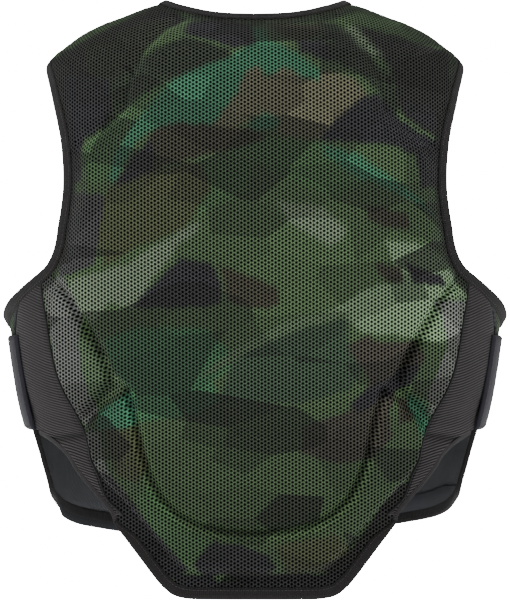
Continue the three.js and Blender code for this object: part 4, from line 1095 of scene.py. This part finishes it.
# Spots of a tab with the heights of its inner and outer face. u runs along it, v from its bottom to its top
def tabSurface(u, v):
    look = tabLook
    edgeDown = look["bottom"] + (look["top"] - look["bottom"]) * v
    middle = (look["top"] + look["bottom"]) / 2
    down = edgeDown + (middle - edgeDown) * look["narrowing"] * u
    start = spotAt(np.full(edgeDown.shape, look["start"]), edgeDown)[..., 0]
    spots = np.stack([start * (1 - u) + look["reach"] * u, down], axis=-1)
    deep = look["bottom"] - look["top"]
    stand = look["gap"] + look["flare"] * ease((down - look["top"]) / deep)
    toEdge = np.minimum(np.minimum(u, 1 - u) * look["length"], np.minimum(v, 1 - v) * deep)
    rounded = np.sqrt(1 - (1 - np.clip(toEdge / look["rolled"], 0, 1)) ** 2)
    puff = look["wall"] * (0.45 + 0.55 * rounded)
    puff = puff + look["wave"] * np.sin(u * 9 + v * 2) * ease(toEdge / 12)
    return spots, stand, stand + puff


def makeTab(word, sign):
    look = tabLook
    v = np.linspace(0, 1, look["rows"] + 1)[:, None]
    u = np.linspace(0, 1, look["columns"] + 1)[None, :]
    spots, inner, outer = tabSurface(u, v)
    fabric = fabricOf(spots)
    if sign < 0:
        spots, fabric = mirrored(spots)[:, ::-1], fabric[:, ::-1]
        outer, inner = outer[:, ::-1], inner[:, ::-1]
    obj = clothWall(f"vest_tab_{word}", raised(spots, outer), raised(spots, inner), fabric, None, skip=2)
    return finished(obj, f"wing_tab_{word}", [tabCloth, tabCloth])


# The tail's edge from side to side, and the width of its binding
def wholeTail():
    tail = bothSides(evenSteps(lowerLine[atPoint:], steps["tail"])[::-1])[::-1]
    widths = hemWidth(tail[:steps["tail"] + 1])
    return tail, np.concatenate([widths, widths[:-1][::-1]])


# The neck's edge from one side of the zip round to the other
def wholeNeck(fromZip):
    return bothSides(evenSteps(cutAtZip(neckLine, cloth["zip"] / 2 + fromZip), steps["neck"]))


# The binding stands further out under the arm, where the wing flares
underarmLook = {"out": 5, "down": 261, "span": 28, "reach": 30}


def underarmLift(edge):
    look = underarmLook
    turn, down = np.abs(edge[:, 0]), edge[:, 1]
    low = ease((down - look["down"] + look["span"]) / (2 * look["span"]))
    return look["out"] * low * ease(1.3 - np.abs(turn - 90) / look["reach"])


threadLook = {
    "pitch": 3.4, "length": 2.5, "width": 0.55, "sunk": 0.25, "proud": 0.3, "zigzag": 1.3, "zigPitch": 2.2,
    "tuck": 1.6, "neckHeight": 1.25, "hemHeight": 1.35,
}


# Small sewn loops along lines of spots that stand at a height over the form
def makeStitches(name, lines):
    look = threadLook
    points, faces = [], []
    for spots, height, zigzag in lines:
        route = raised(spots, height)
        normals = formNormal(spots[:, 0], spots[:, 1])
        lengths = lengthsOf(route)
        pitch = look["zigPitch"] if zigzag else look["pitch"]
        length = pitch if zigzag else look["length"]
        starts = np.arange(pitch / 2, lengths[-1] - pitch, pitch)
        turn = 1
        for start in starts:
            at = start + length * np.array([0, 0.5, 1])
            centre = np.stack([np.interp(at, lengths, route[:, k]) for k in range(3)], axis=-1)
            normal = unit(np.array([np.interp(at[1], lengths, normals[:, k]) for k in range(3)]))
            sideways = unit(np.cross(centre[2] - centre[0], normal))
            if zigzag:
                centre = centre + sideways * look["zigzag"] * turn * np.array([[-1], [0], [1]])
                sideways = unit(np.cross(centre[2] - centre[0], normal))
                turn = -turn
            base = len(points)
            for middle, rise in zip(centre, (0.0, look["proud"], 0.0)):
                for across, up in ((-0.5, -look["sunk"]), (0.5, -look["sunk"]), (0.35, 0.12), (-0.35, 0.12)):
                    points.append(middle + sideways * across * look["width"] + normal * (up + rise))
            for ring in (0, 4):
                for k in range(4):
                    n = (k + 1) % 4
                    faces.append((base + ring + k, base + ring + n, base + ring + 4 + n, base + ring + 4 + k))
            faces.append((base + 3, base + 2, base + 1, base))
            faces.append((base + 8, base + 9, base + 10, base + 11))
    fabric = np.array(points)[:, [0, 2]]
    obj = newMesh(name, points, faces, fabric)
    obj.data.materials.append(threadCloth)
    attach(obj, "root")
    return obj


def makeAllStitches():
    tuck = threadLook["tuck"]
    neck = inset(wholeNeck(2), cloth["neck"] - tuck)
    makeStitches("stitches_neck", [(neck, threadLook["neckHeight"], False)])
    tail, widths = wholeTail()
    makeStitches("stitches_hem", [(inset(tail, widths - tuck), threadLook["hemHeight"], False)])
    # a zigzag where the tab is sewn to the wing, and plain rows along its other sides
    v = np.linspace(0.03, 0.97, 60)
    u = np.linspace(0.02, 0.985, 120)
    tabSides = [(0 * v + 0.018, v, True), (0 * v + 0.982, v, False),
                (u, 0 * u + 0.04, False), (u, 0 * u + 0.96, False)]
    for word, sign in (("right", 1), ("left", -1)):
        lines = []
        for along, up, zigzag in tabSides:
            spots, _, height = tabSurface(along, up)
            lines.append((spots * [sign, 1], height, zigzag))
        makeStitches(f"stitches_tab_{word}", lines)
        armhole = evenSteps(armholeLine, steps["armhole"])
        line = inset(armhole, cloth["armhole"] - tuck, False)
        lift = underarmLift(armhole) * tuck / cloth["armhole"]
        makeStitches(f"stitches_armhole_{word}", [(line * [sign, 1], threadLook["hemHeight"] + lift, False)])


# Rounded cross-section of a folded tape: share across its width, and share of its thickness
tapeProfile = [(0.0, 0.5), (0.03, 0.75), (0.12, 0.95), (0.28, 1.0), (0.5, 1.0), (0.75, 0.98), (0.97, 0.96),
               (1.08, 0.91), (1.1, 0.86), (1.06, 0.82), (1.0, 0.8), (1.0, 0.1), (0.75, 0.0),
               (0.28, 0.0), (0.12, 0.06), (0.03, 0.25)]
# the front's hem has its lip inside
innerLip = [(a, 1 - b) for a, b in tapeProfile][::-1]


def makeTape(name, node, edge, width, low, high, cloths, closed=False, lift=None, profile=tapeProfile):
    edge = np.asarray(edge)
    lengths = lengthsOf(formPoint(edge[:, 0], edge[:, 1]))
    rings = []
    base = np.zeros(len(edge)) if lift is None else lift(edge)
    for across, thick in profile:
        spots = inset(edge, np.asarray(width) * across, closed) if across else edge
        height = low + (high - low) * thick + base * (1 - across)
        rings.append(raised(spots, height))
    points = np.stack(rings, axis=1)
    across = [a * float(np.max(np.abs(width))) for a, _ in profile]
    obj = sweep(name, points, lengths, across, closed)
    return finished(obj, node, cloths)


# Lowest and highest face of each tape, over the form
tapeHeights = {"neck": (-4.3, 1.3), "hem": (-4.4, 1.4), "armhole": (-4.3, 1.4), "trim": (-3.2, 0.9),
               "front": (-5.0, -0.1), "facing": (-4.6, -3.55)}


# Point of the edge line where the binding starts, below the underarm and clear of the armhole's tape
bindingStart = 20


# The front's bound edge from the wing down and round to the zip, and the width of its binding
def frontEdge(fromZip):
    sideLine = evenSteps(frontEdgeLine[bindingStart:atCorner + 1], steps["frontSide"])
    hemLine = evenSteps(cutAtZip(frontEdgeLine[atCorner:], cloth["zip"] / 2 + fromZip), steps["frontHem"])
    edge = np.vstack([sideLine[:-1], hemLine])
    return edge, frontWidths(len(edge), steps["frontSide"])


def makeBindings():
    fromZip = 0.2
    neck = wholeNeck(fromZip)
    makeTape("binding_neck", "neck_binding", neck, cloth["neck"], *tapeHeights["neck"], [bindingCloth])
    makeTape("binding_hem", "hem_binding", *wholeTail(), *tapeHeights["hem"], [bindingCloth])
    for word, sign in (("right", 1), ("left", -1)):
        armhole = evenSteps(armholeLine, steps["armhole"])[:-1]
        trim = evenSteps(lowerLine[:atPoint - 1], steps["trim"])
        edge, widths = frontEdge(fromZip)
        if sign < 0:
            armhole, trim, edge = (mirrored(line)[::-1] for line in (armhole, trim, edge))
            widths = widths[::-1]
        makeTape(f"binding_armhole_{word}", f"armhole_binding_{word}", armhole, cloth["armhole"],
                 *tapeHeights["armhole"], [bindingCloth], True, underarmLift)
        makeTape(f"trim_wing_{word}", f"wing_trim_{word}", trim, cloth["trim"],
                 *tapeHeights["trim"], [trimCloth])
        makeTape(f"binding_front_{word}", f"front_edge_binding_{word}", edge, -widths, *tapeHeights["front"],
                 [bindingCloth], profile=innerLip)


facingLook = {"start": 58, "reach": 15.0, "opening": 22}
facingProfile = [(0, 0), (0, 1), (0.9, 1), (1, 0.8), (1, 0.2), (0.9, 0)]


# Turned-up facing inside the front's hem
def makeFacing(word, sign):
    edge, widths = frontEdge(1)
    inner = inset(edge, -widths - 0.3)[facingLook["start"]:]
    reach = -0.5 - facingLook["reach"] * ease(np.arange(len(inner)) / facingLook["opening"])
    if sign < 0:
        inner, reach = mirrored(inner)[::-1], -reach[::-1]
    return makeTape(f"facing_{word}", f"front_panel_{word}", inner, reach,
                    *tapeHeights["facing"], [facingCloth], profile=facingProfile)


# Round cord laid in the seam between the back and the wing
def makePiping(word, sign):
    line = evenSteps(seamLine, steps["piping"])
    if sign < 0:
        line = mirrored(line)[::-1]
    lengths = lengthsOf(formPoint(line[:, 0], line[:, 1]))
    sides, radius = 10, cloth["piping"] / 2
    rings = []
    for k in range(sides):
        angle = 2 * math.pi * k / sides
        spots = inset(line, np.full(len(line), radius * math.cos(angle)))
        rings.append(raised(spots, radius * math.sin(angle) * 1.5 - 0.4))
    obj = sweep(f"piping_{word}", np.stack(rings, axis=1), lengths, [k * 0.5 for k in range(sides)])
    return finished(obj, f"side_piping_{word}", [pipingCloth])


zipLook = {"rows": 160, "foot": 499.6, "head": 95.2, "wall": 1.6, "proud": 1.3, "coil": 3.3, "pitch": 2.2}
# Shares of the half width at which the zip's tape and coil have their rows of points
zipShares = [-1, -0.9, -0.6, -0.27, -0.25, -0.18, -0.1, 0, 0.1, 0.18, 0.25, 0.27, 0.6, 0.9, 1]


def makeZip():
    look = zipLook
    downs = np.linspace(look["foot"], look["head"], look["rows"])[:, None]
    x = -np.array(zipShares)[None, :] * cloth["zip"] / 2
    turns = zipTurn(downs, x)
    spots = np.stack([turns, np.broadcast_to(downs, turns.shape)], axis=-1)
    coil = np.clip(1 - (np.abs(x) / look["coil"]) ** 4, 0, 1)
    teeth = 0.8 + 0.2 * np.sin(downs * 2 * math.pi / look["pitch"])
    height = look["proud"] * coil * teeth
    outer = raised(spots, height)
    inner = raised(spots, -look["wall"] + 0 * height)
    obj = clothWall("zip", outer, inner, fabricOf(spots), None, skip=1)
    return finished(obj, "front_zip", [zipCloth, zipCloth])


for word, sign in (("right", 1), ("left", -1)):
    makeFront(word, sign)
    makeWing(word, sign)
    makeTab(word, sign)
    makePiping(word, sign)
    makeFacing(word, sign)
makeBindings()
makeZip()
makeAllStitches()
print("fronts, wings, tabs and bindings made")

# Room, light and camera, in metres
roomLook = {
    "floor": -1.6, "wall": 9.0, "size": 30.0, "white": linear("#fafafa"),
    "floorGlow": 1.4, "wallGlow": 30.0, "skyLight": 0.22,
}


def plain(name, colour, glow):
    made, tree, shader = material(name)
    shader.inputs["Base Color"].default_value = colour
    shader.inputs["Roughness"].default_value = 0.9
    shader.inputs["Emission Color"].default_value = colour
    shader.inputs["Emission Strength"].default_value = glow
    return made


def makeScreen(name, place, turn, glow):
    bpy.ops.mesh.primitive_plane_add(size=roomLook["size"], location=place, rotation=turn)
    screen = bpy.context.object
    screen.name = name
    screen.data.materials.append(plain(f"{name}_white", roomLook["white"], glow))
    return screen


floor = makeScreen("floor", (0, 0, roomLook["floor"]), (0, 0, 0), roomLook["floorGlow"])
wall = makeScreen("backdrop", (0, roomLook["wall"], 0), (math.pi / 2, 0, 0), roomLook["wallGlow"])
# the bright wall is seen but throws no light on the vest
wall.visible_diffuse = False
wall.visible_glossy = False

world = bpy.data.worlds.new("studio")
bpy.context.scene.world = world
world.use_nodes = True
sky = world.node_tree.nodes["Background"]
sky.inputs["Color"].default_value = linear("#ffffff")
sky.inputs["Strength"].default_value = roomLook["skyLight"]

lamps = {
    "key": {"at": (-1.5, -1.5, 1.0), "size": 0.7, "power": 38},
    "fill": {"at": (2.0, -1.3, 0.5), "size": 0.8, "power": 24},
    "top": {"at": (0, -0.7, 1.9), "size": 1.2, "power": 26},
}
lampTarget = mathutils.Vector((0, -0.05, -0.28))
for name, lamp in lamps.items():
    light = bpy.data.lights.new(name, "AREA")
    light.size = lamp["size"]
    light.energy = lamp["power"]
    obj = bpy.data.objects.new(name, light)
    bpy.context.scene.collection.objects.link(obj)
    obj.location = lamp["at"]
    obj.rotation_euler = (lampTarget - obj.location).to_track_quat("-Z", "Y").to_euler()

# how far away the camera is, how wide a stretch it sees there, and the height that it looks at
cameraLook = {"away": 3.2, "wide": 0.552, "height": -0.2746, "film": 36}
camera = bpy.data.objects.new("camera", bpy.data.cameras.new("camera"))
bpy.context.scene.collection.objects.link(camera)
camera.location = (0, -cameraLook["away"], cameraLook["height"])
camera.rotation_euler = (math.pi / 2, 0, 0)
camera.data.sensor_width = cameraLook["film"]
camera.data.lens = cameraLook["film"] * cameraLook["away"] / cameraLook["wide"]
bpy.context.scene.camera = camera
